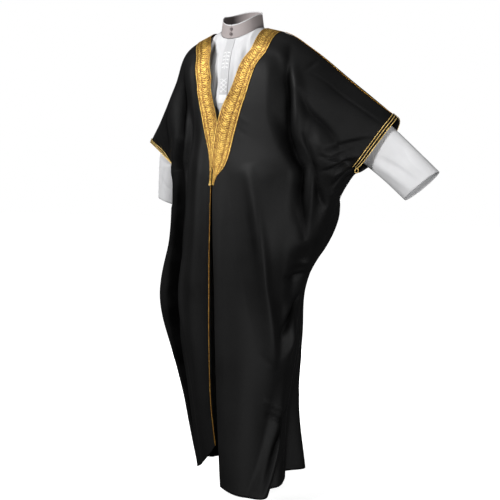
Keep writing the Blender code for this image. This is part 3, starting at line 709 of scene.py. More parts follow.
# %% Creases of the left front
LEFT_CREASES = [
    Crease("valley from the shoulder", [(0.25, 0.22), (1, 0.265), (2, 0.34), (2.5, 0.395), (3, 0.44),
        (3.6, 0.465), (4.2, 0.475), (4.9, 0.5), (5.7, 0.57), (6.3, 0.65),
        (6.9, 0.73)], -0.023, 0.015, 0.35),
    Crease("ridge from the shoulder", [(0.8, 0.28), (1.6, 0.36), (2.3, 0.45), (2.9, 0.51), (3.5, 0.545),
        (4, 0.55), (4.6, 0.56)], 0.003, 0.018),
    Crease("valley in the sleeve", [(2.1, 0.43), (2.4, 0.49), (2.7, 0.57), (2.9, 0.66), (3.1, 0.73),
        (3.65, 0.82)], -0.012, 0.012, 0.4),
    Crease("underarm valley", [(3.3, 0.57), (4, 0.59), (5, 0.6), (5.7, 0.69),
        (6.2, 0.84)], -0.014, 0.01, 0.3),
    Crease("underarm ridge", [(3.4, 0.65), (4.2, 0.67), (5.4, 0.75), (5.9, 0.85)], 0.003, 0.014),
    Crease("press line of the sleeve", [(1.1, 0.42), (1.05, 0.53), (1.28, 0.66), (1.53, 0.81),
        (1.85, 0.96)], -0.0042, 0.0036, 0.4),
    Crease("short shoulder line", [(1.28, 0.39), (0.7, 0.41), (0.1, 0.42)], -0.003, 0.0045),
    Crease("crumple 1", [(3.85, 0.66), (3.6, 0.77), (3.3, 0.85), (2.9, 0.92),
        (2.6, 0.97)], -0.008, 0.0065, 0.3),
    Crease("crumple 2", [(4.1, 0.63), (4.1, 0.74), (3.8, 0.82), (3.4, 0.9)], -0.006, 0.006),
    Crease("crumple 3", [(4.3, 0.68), (4.3, 0.77), (4, 0.86), (3.6, 0.95)], 0.0035, 0.007),
    Crease("crumple 4", [(5, 0.62), (4.6, 0.73), (4.1, 0.85), (3.9, 0.92)], -0.0075, 0.0065, 0.2),
    Crease("crumple 5", [(5.2, 0.7), (4.9, 0.78), (4.5, 0.89)], 0.0035, 0.008),
    Crease("crumple 6", [(5.6, 0.77), (5.3, 0.79), (4.9, 0.85), (4.6, 0.94)], -0.0075, 0.0065),
    Crease("dark hollow by the edge", [(5.4, 0.88), (5.2, 0.93), (5, 0.97)], -0.008, 0.01),
    Crease("roll at the lower edge", [(5.85, 0.8), (5.7, 0.87), (5.4, 0.96)], 0.004, 0.008),
    Crease("pucker at the band", [(3.8, 0.1), (4, 0.14), (4.05, 0.19)], -0.0016, 0.005),
    Crease("pucker over it", [(3.5, 0.1), (3.65, 0.15), (3.7, 0.2)], 0.001, 0.007),
    Crease("long front ridge", [(4.9, 0.19), (5.4, 0.22), (6.3, 0.3), (7.1, 0.38), (7.9, 0.49),
        (8.4, 0.56), (9.3, 0.66)], 0.016, 0.019, 0.1),
    Crease("puff over the tuck", [(7.38, 0.66), (7.4, 0.8), (7.36, 0.95)], 0.005, 0.011),
    Crease("hip tuck", [(7.62, 0.64), (7.68, 0.78), (7.6, 0.9), (7.55, 0.99)], -0.009, 0.0085, 0.5),
    Crease("side swag", [(8, 0.985), (8.35, 0.84), (8.58, 0.77), (8.8, 0.69)], -0.014, 0.0095, 0.3),
    Crease("swag's lip", [(8.2, 0.985), (8.6, 0.9), (8.95, 0.82), (9.2, 0.74)], 0.006, 0.015),
    Crease("line above the knee", [(9, 0.46), (9.2, 0.62), (9.3, 0.8)], -0.0018, 0.009),
    Crease("low tuck", [(9.72, 0.58), (9.83, 0.76), (9.93, 0.95)], 0.0045, 0.007, -0.3),
    Crease("under the low tuck", [(9.9, 0.62), (10, 0.79), (10.1, 0.94)], -0.006, 0.007),
    Crease("edge of the front layer", [(9.9, 0.985), (10.15, 0.86), (10.4, 0.76), (10.7, 0.66),
        (11, 0.56)], -0.014, 0.01, 0.6),
    Crease("fold in the side layer", [(10.3, 0.97), (10.6, 0.86), (10.95, 0.74)], 0.004, 0.013),
    Crease("hollow over the hip", [(6.1, 0.52), (6.4, 0.6), (6.85, 0.71), (7.1, 0.84)], -0.003, 0.013),
    Crease("crest beside the slit", [(5.4, 0.05), (7, 0.05), (9, 0.05), (11.4, 0.05)], 0.007, 0.024),
    Crease("hollow before the long ridge", [(5.3, 0.16), (5.9, 0.21), (6.5, 0.25), (7.1, 0.32),
        (7.9, 0.43), (8.6, 0.53)], -0.004, 0.022),
]
print("creases on the left front:", len(LEFT_CREASES))

# %% Creases of the right front
RIGHT_CREASES = [
    Crease("shoulder fold", [(0.6, 0.08), (1.9, 0.12), (2.8, 0.16), (3.4, 0.2)], -0.003, 0.01),
    Crease("ridge by the band", [(2.6, 0.18), (3.3, 0.28), (4.3, 0.36), (6.3, 0.4), (8.5, 0.34),
        (10.5, 0.36)], 0.008, 0.018),
    Crease("deep valley", [(0.95, 0.23), (2, 0.28), (2.55, 0.35), (3, 0.43), (3.6, 0.49), (4.3, 0.52),
        (4.9, 0.53)], -0.016, 0.018, 0.45),
    Crease("valley's outer lip", [(2.5, 0.42), (3.5, 0.57), (4.7, 0.62), (6.6, 0.66), (8, 0.64),
        (9.2, 0.62)], 0.005, 0.014),
    Crease("wing fold", [(1.8, 0.48), (2.3, 0.66), (3.1, 0.79), (3.7, 0.88)], -0.009, 0.012, 0.2),
    Crease("wing tip fold", [(1.5, 0.86), (2.7, 0.95), (3.6, 0.93), (4.4, 0.82)], -0.004, 0.009),
    Crease("fold to the sleeve's foot", [(4, 0.62), (4.9, 0.68), (5.8, 0.7),
        (6.4, 0.66)], -0.007, 0.011, 0.2),
    Crease("low fold", [(9.1, 0.62), (9.6, 0.58), (10.2, 0.6)], -0.003, 0.012),
    Crease("hem flare", [(9.6, 0.74), (10.3, 0.7), (11, 0.68)], 0.005, 0.018),
    Crease("hollow beside the slit", [(5.6, 0.05), (7, 0.05), (9, 0.05), (11.4, 0.05)], -0.005, 0.02),
    Crease("deep valley below", [(3.6, 0.49), (4.3, 0.52), (5.5, 0.535), (6.3, 0.535), (7.3, 0.515),
        (8.5, 0.485), (9.6, 0.485), (11.6, 0.5)], -0.042, 0.018, 0.35),
]
print("creases on the right front:", len(RIGHT_CREASES))

# %% Creases of the back
BACK_LEFT_CREASES = [
    Crease("shoulder line", [(0.8, 0.44), (1.4, 0.6), (1.8, 0.8)], -0.004, 0.01),
    Crease("sleeve fold", [(1.2, 0.5), (2.6, 0.6), (4, 0.66), (5.4, 0.72)], -0.008, 0.015, 0.2),
    Crease("sleeve ridge", [(1.6, 0.62), (3, 0.72), (4.4, 0.8), (5.6, 0.84)], 0.006, 0.015),
    Crease("elbow crumple 1", [(3.4, 0.96), (3.8, 0.84), (4.3, 0.74)], -0.0045, 0.007),
    Crease("elbow crumple 2", [(4.2, 0.96), (4.5, 0.86), (4.9, 0.76)], 0.0045, 0.007),
    Crease("elbow crumple 3", [(4.8, 0.95), (5.1, 0.86), (5.6, 0.76)], -0.005, 0.008),
    Crease("hip swag", [(7.2, 0.94), (7.8, 0.78), (8.6, 0.64)], -0.008, 0.014, 0.3),
    Crease("knee swag", [(8.4, 0.94), (9, 0.8), (9.8, 0.7)], -0.007, 0.013, 0.3),
    Crease("long fold", [(2, 0.24), (5, 0.22), (8, 0.26), (11, 0.3)], -0.006, 0.016),
]
BACK_RIGHT_CREASES = [
    Crease("shoulder line", [(0.8, 0.44), (1.5, 0.62), (2, 0.82)], -0.004, 0.01),
    Crease("sleeve fold", [(1, 0.46), (2.6, 0.54), (4.4, 0.6), (5.6, 0.66)], -0.008, 0.015, 0.2),
    Crease("sleeve ridge", [(1.6, 0.66), (3, 0.74), (4.4, 0.8)], 0.005, 0.014),
    Crease("elbow crumple", [(4, 0.95), (4.6, 0.84), (5.2, 0.74)], -0.0045, 0.008),
    Crease("hip swag", [(7.6, 0.94), (8.2, 0.82), (9, 0.72)], -0.007, 0.014, 0.3),
    Crease("long fold", [(2.4, 0.2), (5.4, 0.24), (8.4, 0.24), (11, 0.2)], -0.006, 0.016),
]
print("creases on the back:", len(BACK_LEFT_CREASES) + len(BACK_RIGHT_CREASES))

# %% [markdown]
# ## From a panel to a sheet
# A sheet starts as Blender's own grid, whose points then move to their places on the panel. Its UV map is
# in metres along the cloth, so thread and weave keep their real size and follow every fold. Solidify gives
# it its wall. A sheet with no outward direction is a ring: it closes on itself, and its outward side faces
# away from its own middle.

# %% Sheets of cloth
RING_SEAM = 0.00003


def cloth_lengths(points):
    """Metres along the cloth at each grid point, across the rows and down the columns."""
    across = np.linalg.norm(np.diff(points, axis=1), axis=2)
    down = np.linalg.norm(np.diff(points, axis=0), axis=2)
    u = np.concatenate([np.zeros((len(points), 1)), np.cumsum(across, axis=1)], axis=1)
    w = np.concatenate([np.zeros((1, points.shape[1])), np.cumsum(down, axis=0)], axis=0)
    return u, w


def cloth_area(points):
    """The area of a grid of points, in square metres."""
    first = np.cross(points[1:, :-1] - points[:-1, :-1], points[:-1, 1:] - points[:-1, :-1])
    second = np.cross(points[1:, 1:] - points[1:, :-1], points[1:, 1:] - points[:-1, 1:])
    return float((np.linalg.norm(first, axis=2) + np.linalg.norm(second, axis=2)).sum() / 2)


def read(items, name):
    """A place or direction of all vertices or faces, as an array with a row for each."""
    values = np.empty(len(items) * 3)
    items.foreach_get(name, values)
    return values.reshape(-1, 3)


def sheet_mesh(name, points, outward, uv=None, relief=None):
    """A grid of rows and columns as a mesh, with a UV map in metres and the outward side out."""
    rows, columns = points.shape[:2]
    mesh = grid_mesh(name, columns, rows, 1)
    flat = read(mesh.vertices, "co")
    i = np.rint((flat[:, 0] + 1) / 2 * (columns - 1)).astype(int)
    j = np.rint((1 - flat[:, 1]) / 2 * (rows - 1)).astype(int)
    mesh.vertices.foreach_set("co", points[j, i].ravel())
    u, w = cloth_lengths(points) if uv is None else uv
    corner = np.empty(len(mesh.loops), int)
    mesh.loops.foreach_get("vertex_index", corner)
    layer = mesh.uv_layers.new(name="cloth")
    layer.uv.foreach_set("vector", np.stack([u[j, i], w[j, i]], -1)[corner].ravel())
    # The kept height leads the painted shade and highlights of the finish.
    if relief is not None:
        mesh.attributes.new("relief", "FLOAT", "POINT").data.foreach_set("value", relief[j, i])
    mesh.update()
    away = outward
    if outward is None:
        middle = read(mesh.polygons, "center")
        rows_middle = points.mean(axis=1)
        nearest = np.abs(rows_middle[None] - middle[:, None]).sum(axis=2).argmin(axis=1)
        away = middle - rows_middle[nearest]
    if (read(mesh.polygons, "normal") * away).sum() < 0:
        mesh.flip_normals()
    if outward is None:
        bm = bmesh.new()
        bm.from_mesh(mesh)
        bmesh.ops.remove_doubles(bm, verts=bm.verts, dist=RING_SEAM)
        bm.to_mesh(mesh)
        bm.free()
    mesh.shade_smooth()
    return mesh


def put_on(name, mesh, finish, replaced):
    """Adds a finished piece that rides with the garments and stands for solids of the frame."""
    mesh.materials.append(finish)
    piece = show(name, mesh)
    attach(piece, "root")
    if replaced:
        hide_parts(*replaced)
    return piece


Cloth = namedtuple("Cloth", "finish slot wall")


def lay(name, points, outward, cloth, replaced, **more):
    """Adds a grid of points as a piece of cloth with its wall."""
    piece = put_on(name, sheet_mesh(name, points, outward, **more), cloth.finish, [replaced])
    wall = piece.modifiers.new("wall", "SOLIDIFY")
    wall.thickness = cloth.wall
    wall.offset = -1
    return piece


print("a sheet's UV map is in metres")

# %% [markdown]
# ## Cloth finishes
# Black crepe is matt with a faint shine on its ridges, from the twisted thread. The weave is two crossed
# waves on the UV map at thread size, and a slow noise keeps the black from looking painted. Little light
# reaches the depth of a crease, so the sheet keeps there how deep it lies, and the finish paints that shade:
# it darkens and dulls with the depth. The thobe's cotton has the same weave in white, and its collar has a
# darker, warmer one.

# %% Black crepe and white cotton
CREPE_THREAD = 0.0008
COTTON_THREAD = 0.0006
CLOUD_SCALE = 9.0
CREASE_SHADE_DARKENING = 0.45
CREASE_SHADE_DULLING = 0.9
DEEPEST_SHADE_SHARE = 0.15
SHINE_SPREAD = 0.16


def woven(name, dark, pale, roughness, thread, sheen, specular, depth, painted_crease_shade=False):
    """A plain weave: two crossed waves at thread size, with a slow change of colour and shine, and painted
    shade in creases when asked for.
    """
    made, tree, inputs = new_finish(name, pale, roughness, sheen=sheen, specular=specular)
    threads = scaled_uv(tree, thread)
    weave = maths(tree, "MULTIPLY", wave(tree, threads, "X"), wave(tree, threads, "Y"))
    cloud = noise(tree, CLOUD_SCALE)
    tone_and_shade = cloud
    stops = [(0.3, dark), (0.7, pale)]
    # Painted shade: deep in a crease the colour darkens and the shine dulls, led by the kept crease depth.
    if painted_crease_shade:
        hollow = relief_for_painted_light(tree)
        tone_and_shade = maths(tree, "MULTIPLY_ADD", hollow, -CREASE_SHADE_DARKENING, cloud)
        dulled = maths(tree, "MULTIPLY_ADD", hollow, -CREASE_SHADE_DULLING * specular, specular)
        join(tree, inputs["Specular IOR Level"], dulled)
        stops = [(0.0, tuple(DEEPEST_SHADE_SHARE * c for c in dark))] + stops
    paint(tree, inputs, tone_and_shade, stops)
    shine = maths(tree, "MULTIPLY_ADD", cloud, SHINE_SPREAD, roughness - SHINE_SPREAD / 2)
    join(tree, inputs["Roughness"], shine)
    bump(tree, inputs, weave, depth, thread / 3)
    return made


BLACKS = (0.0044, 0.0044, 0.0045), (0.0064, 0.0064, 0.0065)
WHITES = (0.57, 0.57, 0.58), (0.64, 0.64, 0.65)
COLLAR_GREYS = (0.30, 0.265, 0.26), (0.35, 0.31, 0.305)
CREPE = woven("black crepe", *BLACKS, 0.56, CREPE_THREAD, 0.0, 0.15, 0.25, painted_crease_shade=True)
COTTON = woven("white cotton", *WHITES, 0.75, COTTON_THREAD, 0.05, 0.3, 0.3)
COLLAR_COTTON = woven("collar cotton", *COLLAR_GREYS, 0.75, COTTON_THREAD, 0.05, 0.3, 0.3)
BISHT_CLOTH = Cloth(CREPE, "bisht_cloth", 0.0015)
THOBE_CLOTH = Cloth(COTTON, "thobe_cotton", 0.0012)
COLLAR_CLOTH = Cloth(COLLAR_COTTON, "thobe_cotton", 0.0016)
print("woven finishes:", CREPE.name, "and", COTTON.name)

# %% [markdown]
# ## Gold thread
# Metal thread is gold. On the bands the colour follows the stitched relief, with painted shade in deep brown
# in its gaps and a painted highlight in pale gold on its tops, and a fine grain for the single threads. On
# the cords it follows a fine noise.

# %% Gold thread
GOLD_SHADE_AND_DEEP_TONE = (0.08, 0.024, 0.002)
GOLD_MIDDLE = (0.34, 0.155, 0.012)
GOLD_HIGHLIGHT_AND_PALE_TONE = (0.90, 0.63, 0.15)
CORD_PALE = (0.86, 0.62, 0.22)
GOLD_ROUGHNESS = 0.42
GOLD_THREAD = 0.0011
GOLD_GRAIN = 2.4
GRAIN_SCALE = 400.0
CORD_TINT_SCALE = 260.0
FINE_SCALE = 900.0


def gold_finish(name, middle, metallic, follows_relief):
    """Metal thread laid in stitches: on the bands painted shade in deep colour in the gaps and a painted
    highlight in pale gold on the tops; on the cords a fine noise between them.
    """
    made, tree, inputs = new_finish(name, middle, GOLD_ROUGHNESS, metallic=metallic)
    if follows_relief:
        height = maths(tree, "SUBTRACT", relief_for_painted_light(tree), GOLD_GRAIN / 2)
        level = maths(tree, "MULTIPLY_ADD", noise(tree, GRAIN_SCALE, 2.0), GOLD_GRAIN, height)
        thread = wave(tree, scaled_uv(tree, GOLD_THREAD), "DIAGONAL", 1.0)
    else:
        level = noise(tree, CORD_TINT_SCALE)
        thread = noise(tree, FINE_SCALE)
    # On the bands the dark stop is painted shade in the gaps and the pale stop a painted highlight on the
    # tops; on the cords the noise gives a random tone.
    paint(tree, inputs, level, [(0.16, GOLD_SHADE_AND_DEEP_TONE), (0.50, middle), (0.90, GOLD_HIGHLIGHT_AND_PALE_TONE)])
    bump(tree, inputs, thread, 0.5, GOLD_THREAD / 3)
    return made


Cord = namedtuple("Cord", "finish slot")
GOLD = gold_finish("gold embroidery", GOLD_MIDDLE, 0.55, True)
GOLD_CORD = Cord(gold_finish("gold cord", GOLD_MIDDLE, 0.6, False), "gold_embroidery")
PALE_CORD = Cord(gold_finish("pale gold cord", CORD_PALE, 0.5, False), "pale_gold_cord")
print("gold finishes:", GOLD.name, GOLD_CORD.finish.name, PALE_CORD.finish.name)

# %% [markdown]
# ## The cloak's fronts
# Each front is cut in one with its half of the sleeve. The first columns of its grid lie under the gold
# band. Edges at a seam are drawn in by a quarter of a millimetre, as they are in the frame, so that
# neighbours never cut each other. Each cut says the flat piece's size and area: the cloth that shows, with
# a little more for seams and hems.

# %% Panels and their places
Panel = namedtuple("Panel", "garment face folds creases outward seed")
FORWARD = (0, -1, 0)
REARWARD = (0, 1, 0)
BISHT_ROWS = (26, 10, 14, 18, 16, 13, 24, 26, 26, 30, 30)
BAND_COLUMNS = 12
LEFT_COLUMNS = 76
RIGHT_COLUMNS = 60
FOOT_EASE = 0.35
FOOT_ROUNDS = 24
ARC_COLUMNS = 10
SEAM_QUIET = 0.05
TOP_QUIET = 0.6
UNDER_BAND = 0.09
SEAM_DRAW = 0.00025
UNEVEN = 0.0012
# The crease depth at which the painted shade is darkest.
FULL_SHADE_DEPTH = 0.015
V = row_levels(BISHT_ROWS)

LEFT_PANEL = Panel(BISHT_LEFT, "open front", LEFT_FOLDS, LEFT_CREASES, FORWARD, 11)
RIGHT_PANEL = Panel(BISHT_RIGHT, "open front", RIGHT_FOLDS, RIGHT_CREASES, FORWARD, 12)
BACK_LEFT_PANEL = Panel(BISHT_LEFT, "back", BACK_LEFT_FOLDS, BACK_LEFT_CREASES, REARWARD, 13)
BACK_RIGHT_PANEL = Panel(BISHT_RIGHT, "back", BACK_RIGHT_FOLDS, BACK_RIGHT_CREASES, REARWARD, 14)


def shares(count):
    """Even shares from 0 to 1 in this many steps."""
    return np.linspace(0, 1, count + 1)


def eased_foot(points, t, v, foot):
    """Ease the sharp turn where the sleeve's opening ends, away from the side seam and the front edge."""
    amount = 0.5 * np.exp(-(((v - foot) / FOOT_EASE) ** 2)) * (1 - t**8) * ease(t / 0.4)
    eased = points.copy()
    for _ in range(FOOT_ROUNDS):
        bend = eased[:-2] + eased[2:] - 2 * eased[1:-1]
        eased[1:-1] += amount[1:-1, :, None] * bend
    return eased


def panel_base(panel, t, v):
    """The panel's cloth before its folds, its unit normals, and a measure of how far creases move it."""
    base = eased_foot(base_surface(panel.garment, panel.face, t, v), t, v, panel.garment.foot)
    normals = grid_normals(base, panel.outward)

    def line_on(path):
        return base_surface(panel.garment, panel.face, path[:, 1], path[:, 0])

    def moved(creases):
        return crease_depth(base, normals, line_on, creases)

    return base, normals, moved


def panel_points(panel, t, v):
    """The panel's cloth with its broad folds and its creases, and the unit normals before them."""
    base, normals, moved = panel_base(panel, t, v)
    fine = moved(panel.creases) + unevenness(base, UNEVEN, panel.seed)
    quiet = ease((1 - t) / SEAM_QUIET) * ease(v / TOP_QUIET)
    if panel.face == "open front":
        below_band = ease((v - 5.6) / 1.2)
        quiet = quiet * (1 - 0.8 * (1 - ease(t / UNDER_BAND)) * (1 - below_band))
    elif panel.face == "back":
        quiet = quiet * ease(t / SEAM_QUIET)
    depth = fold_depth(panel.folds, t, v) + fine * quiet
    return base + normals * depth[..., None], normals


def crease_shade_share(panel, t, v):
    """How deep in a crease each point lies, from 0 on the open cloth to 1 where the finish paints its darkest
    shade.
    """
    _, _, moved = panel_base(panel, t, v)
    valleys = [crease for crease in panel.creases if crease.depth < 0]
    return np.clip(-moved(valleys) / FULL_SHADE_DEPTH, 0, 1)


def band_edge(garment, v):
    """The place t of the gold band's outer edge at each level."""
    first = base_surface(garment, "open front", 0.0, v)
    last = base_surface(garment, "open front", 1.0, v)
    k = below_opening(garment, v)
    near = column(garment, "band", v) / np.linalg.norm(last - first, axis=-1)
    return near * ((1 - k) + k * 2 / math.pi)


def front_columns(garment, v, rest_columns):
    """Column places on each row: some across the gold band, then even ones to the side."""
    near = band_edge(garment, v)[:, None]
    return np.concatenate([near * shares(BAND_COLUMNS), near + (1 - near) * shares(rest_columns)[1:]], axis=1)


t_left = front_columns(BISHT_LEFT, V, LEFT_COLUMNS)
t_right = front_columns(BISHT_RIGHT, V, RIGHT_COLUMNS)
left, left_out = panel_points(LEFT_PANEL, t_left, V[:, None])
right, right_out = panel_points(RIGHT_PANEL, t_right, V[:, None])
print("rows:", len(V), "columns:", left.shape[1], right.shape[1])

# %% The two fronts
Cut = namedtuple("Cut", "width length area held rests_on")
LEFT_CUT = Cut(0.55, 1.57, 0.60, "draped", ["thobe_front_sheet", "thobe_sleeve_left_sheet"])
RIGHT_CUT = Cut(0.52, 1.44, 0.52, "draped", ["thobe_front_sheet", "thobe_sleeve_right_sheet"])


def hang_sheet(node, points, outward, cloth, cut, seams, relief=None):
    """Makes one panel a shown sheet for the solid of its name, and prints its cloth's area beside the cut's.
    """
    name = node + "_sheet"
    piece = lay(name, draw_in(points, seams, SEAM_DRAW), outward, cloth, node, relief=relief)
    print(name, "cloth area", round(cloth_area(points), 3), "cut area", cut.area)
    return piece


for node, points, panel, t, cut in (
    ("bisht_front_left", left, LEFT_PANEL, t_left, LEFT_CUT),
    ("bisht_front_right", right, RIGHT_PANEL, t_right, RIGHT_CUT),
):
    # The fronts keep how deep each point lies in a crease, for the painted shade of their finish.
    painted_crease_shade = crease_shade_share(panel, t, V[:, None])
    hang_sheet(node, points, FORWARD, BISHT_CLOTH, cut, ["top", "last"], painted_crease_shade)

# %% [markdown]
# ## Facings
# The front edges are turned in below the bands, as a hem that keeps them straight. It shows as dark cloth
# inside the slit. Each is its own strip, which starts behind the edge and runs inwards.

# %% Facings
FACING_DEPTH = 0.034
FACING_TOP = 6.0
FACING_INSET = 0.0006
FACING_GAP = 0.0003
FACING_STEPS = 220
FACING_ROWS = 14
LEFT_FACING_CUT = Cut(0.036, 0.98, 0.034, "hung", [])
RIGHT_FACING_CUT = Cut(0.036, 0.85, 0.030, "hung", [])


def facing_sheet(node, panel, cut):
    levels = np.linspace(FACING_TOP, len(panel.garment.sections) - 1, FACING_STEPS)
    points, normals = panel_points(panel, np.linspace(0, 0.04, 5)[None, :], levels[:, None])
    aside = np.array([math.copysign(FACING_INSET, panel.garment.sections[0].edge_x), 0, 0])
    edge = points[:, 0] - normals[:, 0] * (BISHT_CLOTH.wall + FACING_GAP) + aside
    depth = np.linspace(0, FACING_DEPTH, FACING_ROWS)[None, :, None]
    hang_sheet(node, edge[:, None] - normals[:, :1] * depth, -aside, BISHT_CLOTH, cut, [])


facing_sheet("facing_left", LEFT_PANEL, LEFT_FACING_CUT)
facing_sheet("facing_right", RIGHT_PANEL, RIGHT_FACING_CUT)

# %% [markdown]
# ## The cloak's back
# The back is one piece from sleeve to sleeve. Its columns at the shoulder take the same places as the
# fronts' columns, so the seam's two edges meet point for point.

# %% The back
BACK_CUT = Cut(1.33, 1.57, 1.08, "draped", ["thobe_back_sheet"])


def back_half(panel, shoulder_places):
    n = panel.garment.arc_share
    places = np.concatenate([np.linspace(0, n, ARC_COLUMNS, endpoint=False), n + (1 - n) * shoulder_places])
    return panel_points(panel, places[None, :], V[:, None])


back_left, back_left_out = back_half(BACK_LEFT_PANEL, t_left[0])
back_right, back_right_out = back_half(BACK_RIGHT_PANEL, t_right[0])
back = np.concatenate([back_right[:, :0:-1], back_left], axis=1)
hang_sheet("bisht_back", back, REARWARD, BISHT_CLOTH, BACK_CUT, ["top", "first", "last"])

# %% [markdown]
# ## The gold bands
# The band is stitched in metal thread: a round cord along each edge, thin cords beside them, and a dividing
# cord between a broad and a narrow field. Both fields have bars of slanting stitches under a chain of
# leaves with a vein. All of it is real relief, up to 0.7 mm high, and the relief is also kept as an
# attribute, which paints a highlight on the tops and shade in the gaps.

# %% The band's relief
RELIEF = 0.0007
GROUND = 0.02
MOTIF_LENGTH = 0.022
STITCH = 0.0038
BAR_HEIGHT = 0.85
LEAF_HEIGHT = 0.95
Stripe = namedtuple("Stripe", "name middle half height")
STRIPES = [
    Stripe("inner edge cord", 0.035, 0.035, 1.0),
    Stripe("inner thin cord", 0.125, 0.026, 0.80),
    Stripe("second thin cord", 0.205, 0.026, 0.80),
    Stripe("dividing cord", 0.640, 0.024, 0.65),
    Stripe("outer thin cord", 0.880, 0.024, 0.75),
    Stripe("outer edge cord", 0.962, 0.038, 1.0),
]
Field = namedtuple("Field", "name start end stitch slant")
FIELDS = [
    Field("broad field", 0.245, 0.610, 0.0074, 0.95),
    Field("narrow field", 0.670, 0.850, 0.0056, -0.80),
]


def band_relief(s, length):
    """Height from 0 to 1 over the band, at share s from its inner edge and a length along it."""
    twist = 0.80 + 0.20 * np.sin(2 * math.pi * (length / STITCH + 6 * s))
    height = GROUND + 0 * s
    for stripe in STRIPES:
        round_top = np.sqrt(np.clip(1 - ((s - stripe.middle) / stripe.half) ** 2, 0, 1))
        height = np.maximum(height, stripe.height * round_top * twist)
    for field in FIELDS:
        across = (s - (field.start + field.end) / 2) / ((field.end - field.start) / 2)
        inside = ease((1 - np.abs(across)) / 0.10)
        bar = 0.5 + 0.5 * np.cos(2 * math.pi * (length / field.stitch + field.slant * np.abs(across)))
        step = (length / MOTIF_LENGTH) % 1 * 2 - 1
        leaf = np.clip(1 - ((np.abs(across) + np.abs(step)) / 0.60) ** 2, 0, 1) ** 0.5
        vein = 1 - 0.7 * np.exp(-((across / 0.07) ** 2))
        height = np.maximum(height, np.maximum(BAR_HEIGHT * bar**0.7, LEAF_HEIGHT * leaf * vein) * inside)
    return height


print("band relief in mm:", RELIEF * 1000)

# %% [markdown]
# ## Where the bands lap
# Each band lies on its front's edge. Below the chest the left one laps over the right one, and at the
# collarbone the right one lies nearer the middle, so a lap gives the levels between which a band is
# shifted, and by how much.

# %% Bands down the fronts
BAND = Cloth(GOLD, "gold_embroidery", 0.0012)
BAND_GAP = 0.0004
BAND_ACROSS = 42
BAND_STEPS = 360
BAND_FOOT = 6
Lap = namedtuple("Lap", "first last shift outer")
LEFT_LAP = Lap(2.6, 5.5, (-0.009, -0.0030, 0.0), 0.0)
RIGHT_LAP = Lap(-0.1, 2.8, (0.012, -0.0030, 0.0), 0.35)


def stitched_band(node, points, normals, outward):
    """A strip laid on the cloth with the stitched relief on its face."""
    across, down = cloth_lengths(points)
    length = down[:, :1] + 0 * down
    relief = band_relief(shares(BAND_ACROSS)[None, :], length)
    lifted = points + normals * (BAND_GAP + BAND.wall + RELIEF * relief)[..., None]
    lay(node + "_embroidery", lifted, outward, BAND, node, uv=(across, length), relief=relief)
    print(node, "length", round(float(length.max()), 3), "width", round(float(across[0, -1]), 4))


def even_levels(garment, face, t, foot, count):
    """Levels at even distances along the cloth, from the top down to a foot."""
    v = np.linspace(0, foot, 600)
    reach = distances(base_surface(garment, face, t, v))
    return np.interp(np.linspace(0, reach[-1], count + 1), reach, v)


for node, panel, lap in (("band_left", LEFT_PANEL, LEFT_LAP), ("band_right", RIGHT_PANEL, RIGHT_LAP)):
    levels = even_levels(panel.garment, "open front", 0.05, BAND_FOOT, BAND_STEPS)
    places = band_edge(panel.garment, levels)[:, None] * shares(BAND_ACROSS)[None, :]
    points, normals = panel_points(panel, places, levels[:, None])
    amount = ease((levels - lap.first) / 0.8) * ease((lap.last - levels) / 0.4)
    near = 1 - (1 - lap.outer) * shares(BAND_ACROSS)
    shifted = points + (amount[:, None] * near[None, :])[..., None] * lap.shift
    stitched_band(node, shifted, normals, FORWARD)

# %% [markdown]
# ## The band round the neck
# Behind the neck the band follows the neckline, so each of its cross lines starts on the neckline and runs
# out over the back, from straight along the shoulder at its ends to straight down at the middle. The width
# is measured along the cloth.

# %% Band round the neck
NECK_BAND_WIDTH = 0.055
NECK_STEPS = 150
NECK_MARCH = 60
NECK_REACH_T = 0.42
NECK_REACH_V = 1.9


def neck_half(panel):
    """Half of the neck band, from the shoulder to the middle of the back."""
    n = panel.garment.arc_share
    turn = np.linspace(0, 1, NECK_STEPS)[:, None]

    def cross_lines(march):
        t = n * (1 - turn) + NECK_REACH_T * np.cos(turn * math.pi / 2) * march
        v = NECK_REACH_V * np.sin(turn * math.pi / 2) ** 1.2 * march
        return panel_points(panel, t, v)

    march = np.linspace(0, 1, NECK_MARCH)
    way, _ = cross_lines(march[None, :])
    widths = np.linspace(0, NECK_BAND_WIDTH, BAND_ACROSS + 1)
    return cross_lines(np.array([np.interp(widths, distances(line), march) for line in way]))


neck_left, neck_left_out = neck_half(BACK_LEFT_PANEL)
neck_right, neck_right_out = neck_half(BACK_RIGHT_PANEL)
neck = np.concatenate([neck_left, neck_right[-2::-1]], axis=0)
neck_out = np.concatenate([neck_left_out, neck_right_out[-2::-1]], axis=0)
stitched_band("band_neck", neck, neck_out, (0, 0.5, 1))

# %% [markdown]
# ## The thobe's body
# The thobe hangs inside. Its front and back run from armhole to armhole, and small gathers start beside the
# placket. The chest stands out a little where the cloak's bands hang over it.

